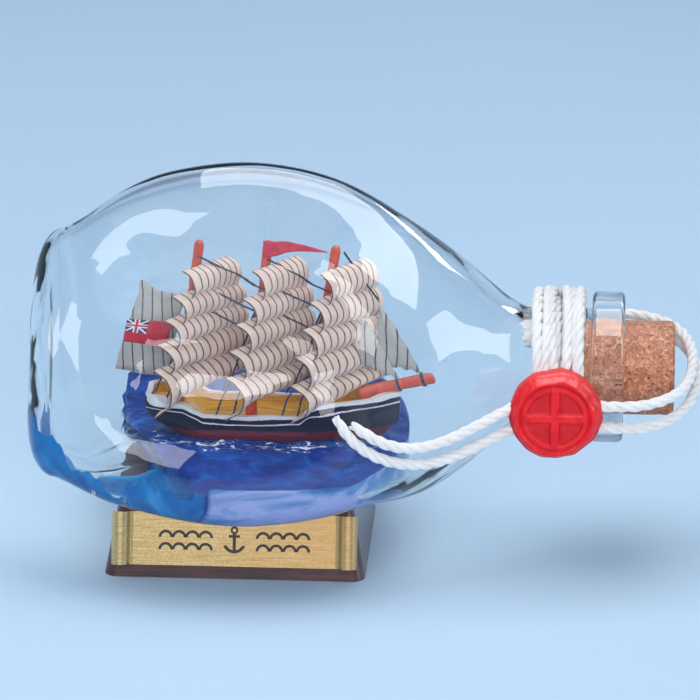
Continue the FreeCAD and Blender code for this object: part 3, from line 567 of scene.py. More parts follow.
def centreline(points):
    """Points in millimetres along the smooth spline that has these control points."""
    curve = bpy.data.curves.new("route", "CURVE")
    curve.dimensions = "3D"
    curve.resolution_u = 16
    spline = curve.splines.new("NURBS")
    spline.points.add(len(points) - 1)
    for control, point in zip(spline.points, points):
        control.co = (*(point * MM), 1)
    spline.order_u = 3
    spline.use_endpoint_u = True
    holder = bpy.data.objects.new("route", curve)
    bpy.context.scene.collection.objects.link(holder)
    bpy.context.view_layer.update()
    mesh = bpy.data.meshes.new_from_object(holder)
    line = [v.co / MM for v in mesh.vertices]
    bpy.data.objects.remove(holder)
    return line


def evenly(line, step):
    """The same line with points about step apart, and its length."""
    lengths = [0.0]
    for a, b in zip(line, line[1:]):
        lengths.append(lengths[-1] + (b - a).length)
    count = max(2, round(lengths[-1] / step))
    spaced, i = [], 0
    for k in range(count + 1):
        goal = lengths[-1] * k / count
        while i < len(line) - 2 and lengths[i + 1] < goal:
            i += 1
        share = (goal - lengths[i]) / max(1e-9, lengths[i + 1] - lengths[i])
        spaced.append(line[i].lerp(line[i + 1], min(1.0, share)))
    return spaced, lengths[-1]


def frames(line):
    """Two directions across the line at each point, carried along it without twist."""
    tangents = [(b - a).normalized() for a, b in zip(line, line[1:])]
    tangents.append(tangents[-1])
    side = tangents[0].orthogonal().normalized()
    made = []
    for tangent in tangents:
        side = (side - tangent * side.dot(tangent)).normalized()
        made.append((side, tangent.cross(side)))
    return made


def twisted(name, lines, diameter, pitch, step, seed, free_ends=()):
    """One mesh of three-ply cord along each line; the plies of a line in free_ends splay and thin at its end."""
    dice = random.Random(seed)
    sides = 10
    ply_r = 0.31 * diameter
    points, faces, uvs = [], [], []
    for index, line in enumerate(lines):
        spaced, length = evenly(line, step)
        across = frames(spaced)
        phase = dice.uniform(0, 6.28)
        for ply in range(3):
            first = len(points)
            wander = dice.uniform(0, 50)
            for i, (centre, (a, b)) in enumerate(zip(spaced, across)):
                along = length * i / (len(spaced) - 1)
                angle = phase + 2 * math.pi * (along / pitch + ply / 3)
                loose = 1 + 0.1 * noise.noise(Vector((along * 0.35, wander, seed)))
                end = max(0.0, along - length + 2.6) / 2.6 if index in free_ends else 0.0
                away = (diameter / 2 - ply_r) * loose * (1 + 0.5 * end * end)
                out = a * math.cos(angle) + b * math.sin(angle)
                middle = centre + out * away
                radius = ply_r * (1 + 0.1 * noise.noise(Vector((along * 0.9, wander + 7, seed)))) * (1 - 0.62 * end)
                for j, (c, s) in enumerate(circle(sides)):
                    points.append(middle + (a * c + b * s) * radius)
                    uvs.append((along, radius * 2 * math.pi * j / sides))
            faces += ring_faces(len(spaced), sides, first) + end_caps(len(spaced), sides, first)
    return mesh_object(name, points, faces, COTTON, uvs)


def fuzz(name, lines, diameter, per_mm, seed):
    """Loose fibres that stand off a cord."""
    dice = random.Random(seed)
    points, faces = [], []
    for line in lines:
        spaced, length = evenly(line, 0.5)
        across = frames(spaced)
        for _ in range(int(length * per_mm)):
            i = dice.randrange(len(spaced))
            a, b = across[i]
            forward = a.cross(b)
            t = dice.uniform(0, 2 * math.pi)
            out = a * math.cos(t) + b * math.sin(t)
            sweep = forward * dice.uniform(-1.6, 1.6) + (b * math.cos(t) - a * math.sin(t)) * dice.uniform(-0.5, 0.5)
            start = spaced[i] + out * diameter * 0.42
            reach = dice.uniform(0.18, 0.5)
            first = len(points)
            wide = forward.cross(out).normalized() * 0.018
            for k in range(4):
                s = k / 3
                middle = start + out * reach * s + sweep * (0.4 * s * s)
                points += [middle - wide * (1 - 0.7 * s), middle + wide * (1 - 0.7 * s)]
            for k in range(3):
                n = first + 2 * k
                faces.append((n, n + 1, n + 3, n + 2))
    return mesh_object(name, points, faces, COTTON, [(0.0, 0.0)] * len(points))


def free_cord(name, points, far_end, seed):
    """A cord in the open: its strands and its fibres."""
    line = centreline(points)
    strands = twisted(name + "_strands", [line], CORD_D, CORD_PITCH, 0.35, seed, (0,) if far_end == "bare" else ())
    adopt(strands, "bottle", "cord", name)
    fibres = fuzz(name + "_fibres", [line], CORD_D, 9, seed)
    adopt(fibres, "bottle", "cord")


free_cord("cord_tail_upper", UPPER_TAIL, "bare", 3)
free_cord("cord_tail_lower", LOWER_TAIL, "bare", 5)
free_cord("cord_loop_upper", UPPER_LOOP, "object", 7)
free_cord("cord_loop_lower", LOWER_LOOP, "object", 9)

WINDING_LOW, WINDING_HIGH = node_box("neck_winding")
NECK_R = 11.5


def neck_winding():
    """Cord wound round the neck: an even inner layer, then a looser one whose turns lean and cross."""
    low_x, high_x = WINDING_LOW.x, WINDING_HIGH.x
    lines = []
    for low, high, radius, turns, lean, phase in (
            (low_x + 1.1, high_x - 1.1, NECK_R + 1.15, 5, 0.0, 0.4),
            (low_x + 1.5, high_x - 1.8, NECK_R + 2.95, 2.6, 1.7, 2.5),
            (high_x - 1.3, low_x + 2.2, NECK_R + 3.2, 2.7, 1.5, 5.3)):
        line = []
        steps = int(turns * 72)
        for i in range(steps + 1):
            t = 2 * math.pi * turns * i / steps
            x = low + (high - low) * i / steps
            x += lean * math.sin(t + phase) * math.sin(math.pi * i / steps)
            x += 0.3 * noise.noise(Vector((t * 0.6, radius, 1.5)))
            r = radius + 0.12 * noise.noise(Vector((t * 0.8, radius, 8.0)))
            line.append(Vector((x, r * math.cos(t), AXIS_Z + r * math.sin(t))))
        lines.append(line)
    strands = twisted("neck_winding_strands", lines, CORD_D, CORD_PITCH, 0.45, 11)
    adopt(strands, "bottle", "cord", "neck_winding")
    adopt(fuzz("neck_winding_fibres", lines[1:], CORD_D, 7, 12), "bottle", "cord")


neck_winding()


# ---- bottle ------------------------------------------------------------------------------------------------

BASE_X, BODY_START_X, BODY_END_X = -40.6, -34.4, 57.0
HEEL_SHARE, HEEL_ROUNDNESS, BASE_DROP = 0.5, 0.3, 1.3
RIDGE_PROFILE = (
    (-34.4, 27.6), (-31.5, 29.2), (-25.0, 33.5), (-17.0, 37.2), (-8.0, 39.4), (0.0, 40.3), (11.5, 39.3),
    (21.5, 36.1), (31.0, 30.3), (41.0, 22.7), (49.5, 15.6), (54.0, 12.4), (57.0, 11.3))
SIDE_SHARPNESS = 4.0
ROUND_FROM_X, ROUND_BY_X = 5.0, 48.0
DENT_DEPTH, DENT_HALF_WIDTH = 4.6, 15.0
DENT_RISE, DENT_FALL = (-34.0, -15.0), (2.0, 36.0)
WALL, HEEL_WALL, BASE_WALL, INNER_HEEL_LENGTH = 2.0, 1.2, 1.6, 4.6
PUSH_UP, PUSH_UP_R = 0.8, 8.0
BORE_R, LIP_X, MOUTH_X, LIP_R, LIP_ROUND = 9.25, 68.6, 75.0, 14.7, 1.1
NECK_BLEND = (52.5, 58.5)          # where the shoulder turns into the neck
GLASS_AROUND = 180
INNER_START_X = BASE_X + BASE_WALL + INNER_HEEL_LENGTH
ridge_at = smooth_through(RIDGE_PROFILE)


def outside_radius(x, angle):
    """Distance of the body's outer surface from its centre, at x and in the direction of angle (degrees)."""
    ridge = ridge_at(x)
    power = sum(max(0.0, math.cos(math.radians(angle - side))) ** SIDE_SHARPNESS for side in SIDE_ANGLES)
    triangle = 0.5 * (2.0 / power) ** (1.0 / SIDE_SHARPNESS)
    roundness = ease(x, ROUND_FROM_X, ROUND_BY_X) + HEEL_ROUNDNESS * (1 - ease(x, BODY_START_X, DENT_RISE[1]))
    radius = ridge * (roundness + (1 - roundness) * triangle)
    depth = DENT_DEPTH * ease(x, *DENT_RISE) * (1 - ease(x, *DENT_FALL))
    dent = 0.0
    for side in SIDE_ANGLES:
        away = math.radians(angle - side)
        if math.cos(away) > 0:
            dent += depth * math.exp(-(radius * math.sin(away) / DENT_HALF_WIDTH) ** 2)
    return radius - dent


def centre_drop(x):
    """How far the section's centre is below the axis: a little at the base end."""
    return BASE_DROP * (1 - ease(x, BODY_START_X, -12.0))


def wall_at(x):
    """Thickness of the glass, thinner by the heel."""
    return HEEL_WALL + (WALL - HEEL_WALL) * smoothstep(x, -31.0, -16.0)


def body_radius(x, angle, inset, neck_r):
    """The body's radius, turning smoothly into a neck of radius neck_r."""
    blend = ease(x, *NECK_BLEND)
    return (outside_radius(min(x, BODY_END_X), angle) - inset) * (1 - blend) + neck_r * blend


def glass_rings():
    """Rings of points from the middle of the outside of the base, over the lip, to the inside."""
    angles = [360.0 * j / GLASS_AROUND for j in range(GLASS_AROUND)]
    rings = []

    def add(x_at, radius_at, centre_x):
        ring = []
        for angle in angles:
            r = radius_at(angle)
            t = math.radians(angle)
            ring.append(Vector((x_at(r), r * math.cos(t), AXIS_Z - centre_drop(centre_x) + r * math.sin(t))))
        rings.append(ring)

    def base(angle, bend=math.pi / 2):
        return outside_radius(BODY_START_X, angle) * (1 - HEEL_SHARE * (1 - math.cos(bend)))

    def inner_base(angle, bend=math.pi / 2):
        return (outside_radius(INNER_START_X, angle) - HEEL_WALL) * (1 - HEEL_SHARE * (1 - math.cos(bend)))

    for share in (0.03, 0.12, 0.24, 0.36, 0.48, 0.6, 0.7, 0.8, 0.88, 0.95):
        add(lambda r: BASE_X + PUSH_UP * max(0.0, 1 - (r / PUSH_UP_R) ** 2) ** 1.5,
            lambda a, s=share: base(a) * s, BODY_START_X)
    for k in range(24):
        t = math.radians(90 - 90 * k / 24)
        add(lambda r, t=t: BODY_START_X + (BASE_X - BODY_START_X) * math.sin(t), lambda a, t=t: base(a, t),
            BODY_START_X)
    steps = 110
    for i in range(steps + 1):
        x = BODY_START_X + (NECK_BLEND[1] - BODY_START_X) * i / steps
        add(lambda r, x=x: x, lambda a, x=x: body_radius(x, a, 0.0, NECK_R), x)
    for x in (61.0, 64.0, 66.5, LIP_X - 0.25):
        add(lambda r, x=x: x, lambda a: NECK_R, x)
    for x, r_out in lip_outline():
        add(lambda r, x=x: x, lambda a, r_out=r_out: r_out, x)
    for x in (72.0, 68.0, 64.0, 61.0):
        add(lambda r, x=x: x, lambda a: BORE_R, x)
    inner_end = NECK_BLEND[1]
    for i in range(steps + 1):
        x = inner_end + (INNER_START_X - inner_end) * i / steps
        add(lambda r, x=x: x, lambda a, x=x: body_radius(x, a, wall_at(x), BORE_R), x)
    for k in range(1, 25):
        t = math.radians(90 * k / 24)
        add(lambda r, t=t: INNER_START_X - INNER_HEEL_LENGTH * math.sin(t), lambda a, t=t: inner_base(a, t),
            INNER_START_X)
    for share in (0.9, 0.75, 0.6, 0.45, 0.3, 0.15, 0.03):
        add(lambda r: BASE_X + BASE_WALL, lambda a, s=share: inner_base(a) * s, INNER_START_X)
    return rings


def lip_outline():
    """(x, radius) of the rolled lip, from where it leaves the neck, over the mouth and into the bore."""
    outline = [(LIP_X, NECK_R + 0.25)]
    for centre_x, start in ((LIP_X + LIP_ROUND, 180.0), (MOUTH_X - LIP_ROUND, 90.0)):
        for k in range(7):
            t = math.radians(start - 90 * k / 6)
            outline.append((centre_x + LIP_ROUND * math.cos(t), LIP_R - LIP_ROUND + LIP_ROUND * math.sin(t)))
    inner_round = 0.8
    for k in range(6):
        t = math.radians(90 * k / 5)
        outline.append((MOUTH_X - inner_round + inner_round * math.cos(t),
                        BORE_R + inner_round - inner_round * math.sin(t)))
    return outline


def bottle():
    glass = loft("bottle_glass_body", glass_rings(), GLASS)
    glass.visible_shadow = False
    adopt(glass, "bottle", "bottle_glass", "bottle")


bottle()


# ---- sea ---------------------------------------------------------------------------------------------------

SEA_LEVEL = -14.5                  # above the axis
SEA_BANK = ((14.0, 0.0), (24.0, 1.0), (34.0, 3.2), (46.0, 3.4))
SEA_END_X, SEA_END_LENGTH, SEA_END_WIDTH = 33.0, 43.0, 46.0
SEA_INTO_GLASS = 0.05
SEA_UNDER, SEA_ACROSS = 140, 160   # how finely a station is divided against the glass and over the top
SHORE_X, SHORE_Y, SHORE_CURVE = -26.0, 28.0, 0.0058
COAT, COAT_START, COAT_REACH = 1.0, 40.0, 64.0    # how thick the sea coats the front ridge, and from where to where
HULL_STATIONS = (                  # x, half-breadth, rail above the sea, keel above the sea
    (-18.4, 3.6, 7.6, 3.9), (-16.6, 5.3, 7.5, 2.4), (-14.0, 6.5, 7.4, 0.9), (-10.8, 7.1, 7.3, -0.8),
    (-7.0, 7.4, 5.1, -2.0), (2.0, 7.6, 4.9, -2.0), (12.2, 7.0, 5.0, -2.0), (14.2, 6.7, 6.8, -2.0),
    (20.0, 5.2, 7.2, -2.0), (25.0, 3.3, 7.6, -1.6), (28.5, 1.7, 7.9, 0.6), (31.0, 0.5, 8.1, 3.2))
breadth_at = smooth_through([(s[0], s[1]) for s in HULL_STATIONS])
keel_at = smooth_through([(s[0], s[3]) for s in HULL_STATIONS])
RAIL_HEIGHTS = [(s[0], s[2]) for s in HULL_STATIONS]


def sea_top(x, y):
    """Height of the sea above the axis, and how foamy it is."""
    level = SEA_LEVEL + interpolate(SEA_BANK, y)
    inside = min(1.0, max(0.0, (x + 20.0) / 4.0)) * min(1.0, max(0.0, (30.0 - x) / 4.0))
    hull_y = 0.86 * max(0.0, breadth_at(max(-18.0, min(30.0, x)))) * inside
    off = abs(y) - hull_y
    wash = math.exp(-((off - 4.0) / 4.6) ** 2) * inside if off > -1 else 0.0
    swell = noise.noise(Vector((x * 0.09, y * 0.13, 2.0)))
    chop = noise.noise(Vector((x * 0.28, y * 0.42, 5.0)))
    ripple = noise.noise(Vector((x * 0.8, y * 1.1, 9.0)))
    height = level + 0.6 * swell + 0.42 * chop + 0.16 * ripple + 0.35 * wash * (0.6 + chop)
    foam = (0.62 if y < 0 else 0.3) * wash + 0.2 * max(0.0, chop)
    return height, foam


def wetness(x, y):
    """1 over the pool and 0 on the base's side of its shore, where the sea only coats the glass."""
    shore = SHORE_X + SHORE_CURVE * (SHORE_Y - y) ** 2 + 0.5 * noise.noise(Vector((y * 0.2, 3.0, 1.0)))
    return smoothstep(x, shore - 0.6, shore + 1.6)


def sea_station(x, heel):
    """The sea's outline across X: heel is 0 along the body and goes to 1 at the inside of the base."""
    t = heel * math.pi / 2
    real_x = x - INNER_HEEL_LENGTH * math.sin(t)
    drop = centre_drop(x)

    def wall(angle, inset=-SEA_INTO_GLASS):
        r = (outside_radius(x, angle) - wall_at(x)) * (1 - HEEL_SHARE * (1 - math.cos(t))) - inset
        return r * math.cos(math.radians(angle)), r * math.sin(math.radians(angle)) - drop

    def edge(sign):
        """How far round from the bottom the sea reaches: to its level, or as a coat in lower tongues."""
        low, high = 0.0, 100.0
        for _ in range(24):
            middle = (low + high) / 2
            y, z = wall(-90 + sign * middle)
            if z < SEA_LEVEL + interpolate(SEA_BANK, y):
                low = middle
            else:
                high = middle
        wet = wetness(real_x, wall(-90 + sign * low)[0])
        tongue = noise.noise(Vector((real_x * 0.16, 7.0 * sign, 20.0))) + 0.4 * noise.noise(
            Vector((real_x * 0.6, 7.0 * sign, 30.0)))
        on_heel = smoothstep(-real_x, 30.0, 36.0)
        if sign < 0:
            coat = COAT_REACH + 8.0 * on_heel + 9.0 * tongue
        else:
            coat = -COAT_START + 26.0 * on_heel + 8.0 * tongue
        return low * wet + coat * (1 - wet)

    centre_x = SEA_END_X - SEA_END_LENGTH
    reach = 60.0
    if real_x > centre_x:
        reach = SEA_END_WIDTH * math.sqrt(max(0.0, 1 - ((real_x - centre_x) / SEA_END_LENGTH) ** 2))
    back, front = edge(1), edge(-1)
    ring, foams, depths = [], [], []
    for i in range(SEA_UNDER + 1):
        angle = -90 + back - (back + front) * i / SEA_UNDER
        y, z = wall(angle)
        ring.append(Vector((real_x, max(-reach, min(reach, y)), AXIS_Z + z)))
        foams.append(0.0)
        # depth 2 marks the pool's walls, where the finish paints a lilac highlight
        depths.append(2.0 * wetness(real_x, y))
    start, end = ring[-1].y, ring[0].y
    for i in range(1, SEA_ACROSS):
        share = i / SEA_ACROSS
        y = start + (end - start) * share
        height, foam = sea_top(real_x, y)
        inset = min(1.0, min(y - start, end - y) / 1.2)
        rest = SEA_LEVEL + interpolate(SEA_BANK, y)
        pool = Vector((real_x, y, rest + (height - rest) * inset))
        coat_y, coat_z = wall(-90 - front + (back + front) * share,
                              COAT * math.sin(math.pi * share) ** 0.3 - SEA_INTO_GLASS)
        wet = wetness(real_x, y)
        place = Vector((real_x, coat_y, coat_z)).lerp(pool, wet)
        ring.append(place + Vector((0, 0, AXIS_Z)))
        foams.append(foam * wet)
        depths.append(wet)
    return ring, foams, depths


def ridge_cover(point):
    """How far the coat by the base covers a point: it lies on the lower front ridge, and round the heel."""
    tongue = noise.noise(Vector((point.x * 0.16, 4.0, 40.0)))
    turn = math.degrees(math.atan2(-point.y, AXIS_Z - point.z))
    limit = COAT_START + 8.0 * tongue - 30.0 * smoothstep(-point.x, 30.0, 36.0)
    return smoothstep(turn, limit - 5.0, limit + 5.0)


def sea():
    rings, foams, depths = [], [], []
    stations = [(INNER_START_X, 1 - k / 16) for k in range(16)]
    middle, fine, count = 22.0, 120, 60
    stations += [(INNER_START_X + (middle - INNER_START_X) * i / fine, 0.0) for i in range(fine)]
    stations += [(middle + (SEA_END_X - 0.02 - middle) * math.sin(math.pi / 2 * i / count), 0.0)
                 for i in range(count + 1)]
    for x, heel in stations:
        ring, foam, depth = sea_station(x, heel)
        rings.append(ring)
        foams += foam
        depths += depth
    around = len(rings[0])
    covers = [max(min(1.0, depth), ridge_cover(rings[k // around][k % around])) for k, depth in enumerate(depths)]
    faces = [face for face in ring_faces(len(rings), around) if any(covers[k] for k in face)]
    water = mesh_object("sea_water", [point for ring in rings for point in ring],
                        faces + end_caps(len(rings), around), SEA)
    point_values(water, foam=foams, depth=depths, cover=covers)
    adopt(water, "bottle", "sea", "sea")


sea()


# ---- ship --------------------------------------------------------------------------------------------------

SEA_Z = AXIS_Z + SEA_LEVEL
DECK_DROP, BULWARK = 1.7, 0.9
INBOARD = -6.0              # the hull's V on the faces inside the bulwark, which are varnished


def hull_section(x):
    """One cross-section of the hull, from the near rail round the keel to the far rail and over the deck."""
    breadth = max(0.25, breadth_at(x))
    rail, keel = interpolate(RAIL_HEIGHTS, x), keel_at(x)
    height = rail - keel
    sections, downs = [], []
    for k in range(17):
        s = k / 16
        flare = 1.0 - 0.06 * math.sin(math.pi * min(1.0, s * 1.6)) if s < 0.55 else 1.0
        turn = 1.0 if s < 0.45 else math.sqrt(max(0.0, 1 - ((s - 0.45) / 0.56) ** 2.4))
        sections.append((-breadth * (flare if s < 0.45 else 1.0) * max(0.05, turn), rail - s * height))
        downs.append(s * height)
    mirrored = [(-y, z) for y, z in reversed(sections)]
    inner = max(0.1, breadth - BULWARK)
    well = [(inner, rail), (inner, rail - DECK_DROP - 0.3), (-inner, rail - DECK_DROP - 0.3), (-inner, rail)]
    outline = sections + mirrored + well
    downs = downs + list(reversed(downs)) + [INBOARD] * 4
    return [Vector((x, y, SEA_Z + z)) for y, z in outline], downs


def hull():
    rings, uvs = [], []
    start, end, count = HULL_STATIONS[0][0], HULL_STATIONS[-1][0], 110
    for i in range(count + 1):
        x = start + (end - start) * i / count
        ring, downs = hull_section(x)
        rings.append(ring)
        uvs += [(x, down) for down in downs]
    shell = loft("hull_shell", rings, HULL, uvs)
    shell.data.set_sharp_from_angle(angle=math.radians(40))
    adopt(shell, "bottle", "hull_paint", "hull")


hull()


def spar(name, node, foot, top, radius):
    """A turned spar with a rounded top and a slight swelling at its foot."""
    run = top - foot
    length = run.length
    run.normalize()
    a = run.orthogonal().normalized()
    b = run.cross(a)
    profile = ((0.0, 0.9), (0.01, 1.12), (0.05, 1.1), (0.08, 1.0), (0.45, 0.97), (0.9, 0.93), (0.96, 0.95),
               (0.978, 0.9), (0.99, 0.74), (0.997, 0.48), (1.0, 0.2))
    rings = [[foot + run * (length * share) + (a * c + b * s) * (radius * scale) for c, s in circle(20)]
             for share, scale in profile]
    adopt(loft(name, rings, SPAR), "bottle", "spar_wood", node)


def mast_ends(name):
    low, high = node_box(f"{name}_mast")
    radius = (high.y - low.y) / 2
    return Vector((low.x + radius, 0, low.z)), Vector((high.x - radius, 0, high.z))


SPAR_R = 1.05
MASTS = {name: mast_ends(name) for name in ("mizzen", "main", "fore")}
for mast_name, (mast_foot, mast_top) in MASTS.items():
    spar(f"{mast_name}_mast_spar", f"{mast_name}_mast", mast_foot, mast_top, SPAR_R)
SPRIT_LOW, SPRIT_HIGH = node_box("bowsprit")
SPRIT_FOOT = Vector((SPRIT_LOW.x + 0.3, 0, SPRIT_LOW.z + 1.0))
SPRIT_TIP = Vector((SPRIT_HIGH.x, 0, SPRIT_HIGH.z - 0.95))
spar("bowsprit_spar", "bowsprit", SPRIT_FOOT, SPRIT_TIP, SPAR_R)


def mast_point(name, height):
    foot, top = MASTS[name]
    return foot.lerp(top, (AXIS_Z + height - foot.z) / (top.z - foot.z))


def paper(node, rows, columns, place_at, material, slot):
    """A thin sheet that stands for a CAD node; place_at(u, v) gives a point of it and the point's UV."""
    placed = [place_at(j / columns, i / rows) for i in range(rows + 1) for j in range(columns + 1)]
    faces = ring_faces(rows + 1, columns + 1, closed=False)
    sheet = mesh_object(f"{node}_paper", [p for p, _ in placed], faces, material, [uv for _, uv in placed])
    adopt(thicken(sheet, PAPER_THICK), "bottle", slot, node)


PAPER_THICK = 0.2
YARD_ANGLE = math.radians(45.0)
YARD = Vector((math.cos(YARD_ANGLE), math.sin(YARD_ANGLE), 0))
FORWARD = Vector((math.sin(YARD_ANGLE), -math.cos(YARD_ANGLE), 0))
BELLY_ANGLE = math.radians(24.0)
BELLY = Vector((math.cos(BELLY_ANGLE), -math.sin(BELLY_ANGLE), 0))
SAIL_WIDTHS = (11.5, 15.0, 17.2, 19.4, 21.0)
SAIL_BULGES = (2.7, 3.1, 3.4, 3.8, 4.7)
SAIL_HEADS = {"mizzen": (20.2, 0.9), "main": (20.4, -0.4), "fore": (20.0, -1.6)}
SAIL_LAP = 0.45                    # how far each upper sail hangs below the next one's head
COURSE_DROPS = {"mizzen": 9.6, "main": 8.4, "fore": 7.6}     # height of the lowest sail at its front edge
COURSE_DROP_FAR = 4.2              # and at its far edge
upper_curve = smooth_through([(0.0, 0.0), (0.12, 0.5), (0.3, 0.86), (0.55, 1.0), (0.8, 0.92), (1.0, 0.66)])
course_curve = smooth_through([(0.0, 0.0), (0.1, 0.42), (0.3, 0.88), (0.5, 1.0), (0.75, 0.78), (1.0, 0.12)])


def square_sail(mast_name, level):
    """A strip of paper, bellied forward, with its front corner drawn down to a point on the lowest sail."""
    first, last = SAIL_HEADS[mast_name]
    spacing = (first - last) / 4
    width, bulge = SAIL_WIDTHS[level], SAIL_BULGES[level]
    centre = mast_point(mast_name, first - spacing * level) + Vector((1.3, 0, 0)) + FORWARD * 1.15
    seed = 10 * level + len(mast_name)
    curve = course_curve if level == 4 else upper_curve
    seam_scale = 1.0 - 0.05 * level

    def place_at(u, v):
        near = max(0.0, 1 - u / 0.16)
        far = max(0.0, (u - 0.82) / 0.18)
        scallop = abs(math.sin(math.pi * width * u * seam_scale / SEAM_GAP))
        if level == 4:
            drop = COURSE_DROPS[mast_name] + (COURSE_DROP_FAR - COURSE_DROPS[mast_name]) * u ** 0.75
            drop += 0.9 * near ** 2
        else:
            drop = spacing + SAIL_LAP + 0.75 * near ** 2 - 0.3 * math.sin(math.pi * u)
        drop += 0.16 * scallop
        lift = (0.75 * u - 0.5) * (1 - v)
        lift -= (0.1 * near ** 2 + 0.5 * far ** 2) * (1 - v)
        belly = bulge * curve(v) * (0.9 + 0.1 * math.sin(math.pi * u))
        belly += 0.12 * noise.noise(Vector((u * 4, v * 2, seed)))
        tuck = -0.6 * near ** 2 * (v if level == 4 else 1 - v)
        place = centre + YARD * (width * (u - 0.5) + tuck) + BELLY * belly
        return place + Vector((0, 0, lift - drop * v)), (width * u * seam_scale, drop * v)

    paper(f"{mast_name}_sail_{level + 1}", 28, 60, place_at, SAILCLOTH, "sail_paper")


for mast_name in MASTS:
    for sail_level in range(5):
        square_sail(mast_name, sail_level)


def flat_sheet(node, corners, y, belly, seed, ragged=0.0):
    """A sheet between four (x, height above the axis) corners: two along the top, then two along the foot."""
    top_left, top_right, low_right, low_left = [Vector((cx, 0, AXIS_Z + cz)) for cx, cz in corners]
    is_flag = node == "ensign"

    def place_at(u, v):
        place = top_left.lerp(top_right, u).lerp(low_left.lerp(low_right, u), v)
        bow = belly * math.sin(math.pi * u) * math.sin(math.pi * (0.15 + 0.8 * v))
        curl = 0.15 * noise.noise(Vector((u * 2.0, v * 2.0, seed)))
        tooth = ragged * abs(math.sin(u * 12)) * v ** 6
        return place + Vector((0, y + bow + curl, -tooth)), (u, v) if is_flag else (place.x, place.z)

    paper(node, 14, 18, place_at, ENSIGN_PAPER if is_flag else SHADED_JIBCLOTH, "flag_paper" if is_flag else "sail_paper")


flat_sheet("spanker", ((-19.3, 15.6), (-10.9, 12.5), (-14.4, -3.4), (-24.4, -2.4)), 0.0, -0.7, seed=1.0)
flat_sheet("ensign", ((-22.0, 8.0), (-13.2, 7.4), (-14.5, 2.3), (-22.8, 3.4)), -1.0, -0.5, seed=2.0)
flat_sheet("outer_jib", ((27.2, 12.2), (27.35, 12.2), (34.9, -1.9), (26.9, 0.7)), 0.0, -0.5, seed=4.0, ragged=0.6)
flat_sheet("inner_jib", ((23.9, 9.7), (24.05, 9.7), (31.2, -3.2), (23.5, 0.3)), -0.5, -0.5, seed=5.0, ragged=0.6)


def pennant():
    """A long red streamer, wrapped round the front of the masthead, that narrows to a point."""
    middle_at = smooth_through([(0.0, 23.3), (0.48, 23.2), (0.8, 22.7), (1.0, 22.2)])
    half_at = smooth_through([(0.0, 1.75), (0.25, 1.45), (0.48, 0.92), (0.8, 0.36), (1.0, 0.04)])

    def place_at(u, v):
        x = 4.6 + 12.9 * u
        y = -1.3 * (1 - smoothstep(x, 6.4, 9.5)) + 0.3 * math.sin(5 * u + 0.6) * u
        return Vector((x, y, AXIS_Z + middle_at(u) + half_at(u) * (1 - 2 * v))), (u, v)

    paper("pennant", 8, 40, place_at, PENNANT_PAPER, "flag_paper")


pennant()


# ---- closure -----------------------------------------------------------------------------------------------

def cork():
    """The stopper: rounded edges and a rough, pitted skin."""
    radius = (CORK_HIGH.y - CORK_LOW.y) / 2
    length = CORK_HIGH.x - CORK_LOW.x
    outline = [(0.0, 0.05), (0.0, 0.5), (0.0, 0.85), (0.15, 0.94), (0.6, 0.99)]
    outline += [(s, 1.0) for s in [1.0 + (length - 2.0) * k / 40 for k in range(41)]]
    outline += [(length - 0.5, 0.985), (length - 0.12, 0.94), (length, 0.86), (length, 0.6), (length, 0.3),
                (length, 0.04)]
    rings = []
    for along, share in outline:
        ring = []
        for c, s in circle(120):
            r = radius * share
            pit = noise.noise(Vector((along * 0.9, r * c * 0.9, r * s * 0.9)))
            dent = 0.18 * max(0.0, -pit - 0.15)
            r -= 2 * dent if share > 0.9 else 0.0
            shift = dent if share < 0.9 and along > 1 else 0.0
            ring.append(Vector((CORK_LOW.x + along - shift, r * c, AXIS_Z + r * s)))
        rings.append(ring)
    adopt(loft("cork_stopper", rings, CORK), "cork", "cork", "cork")


cork()

SEAL_LOW, SEAL_HIGH = node_box("wax_seal")
SEAL_RING_R = 5.9
SEAL_RELIEF = 0.75


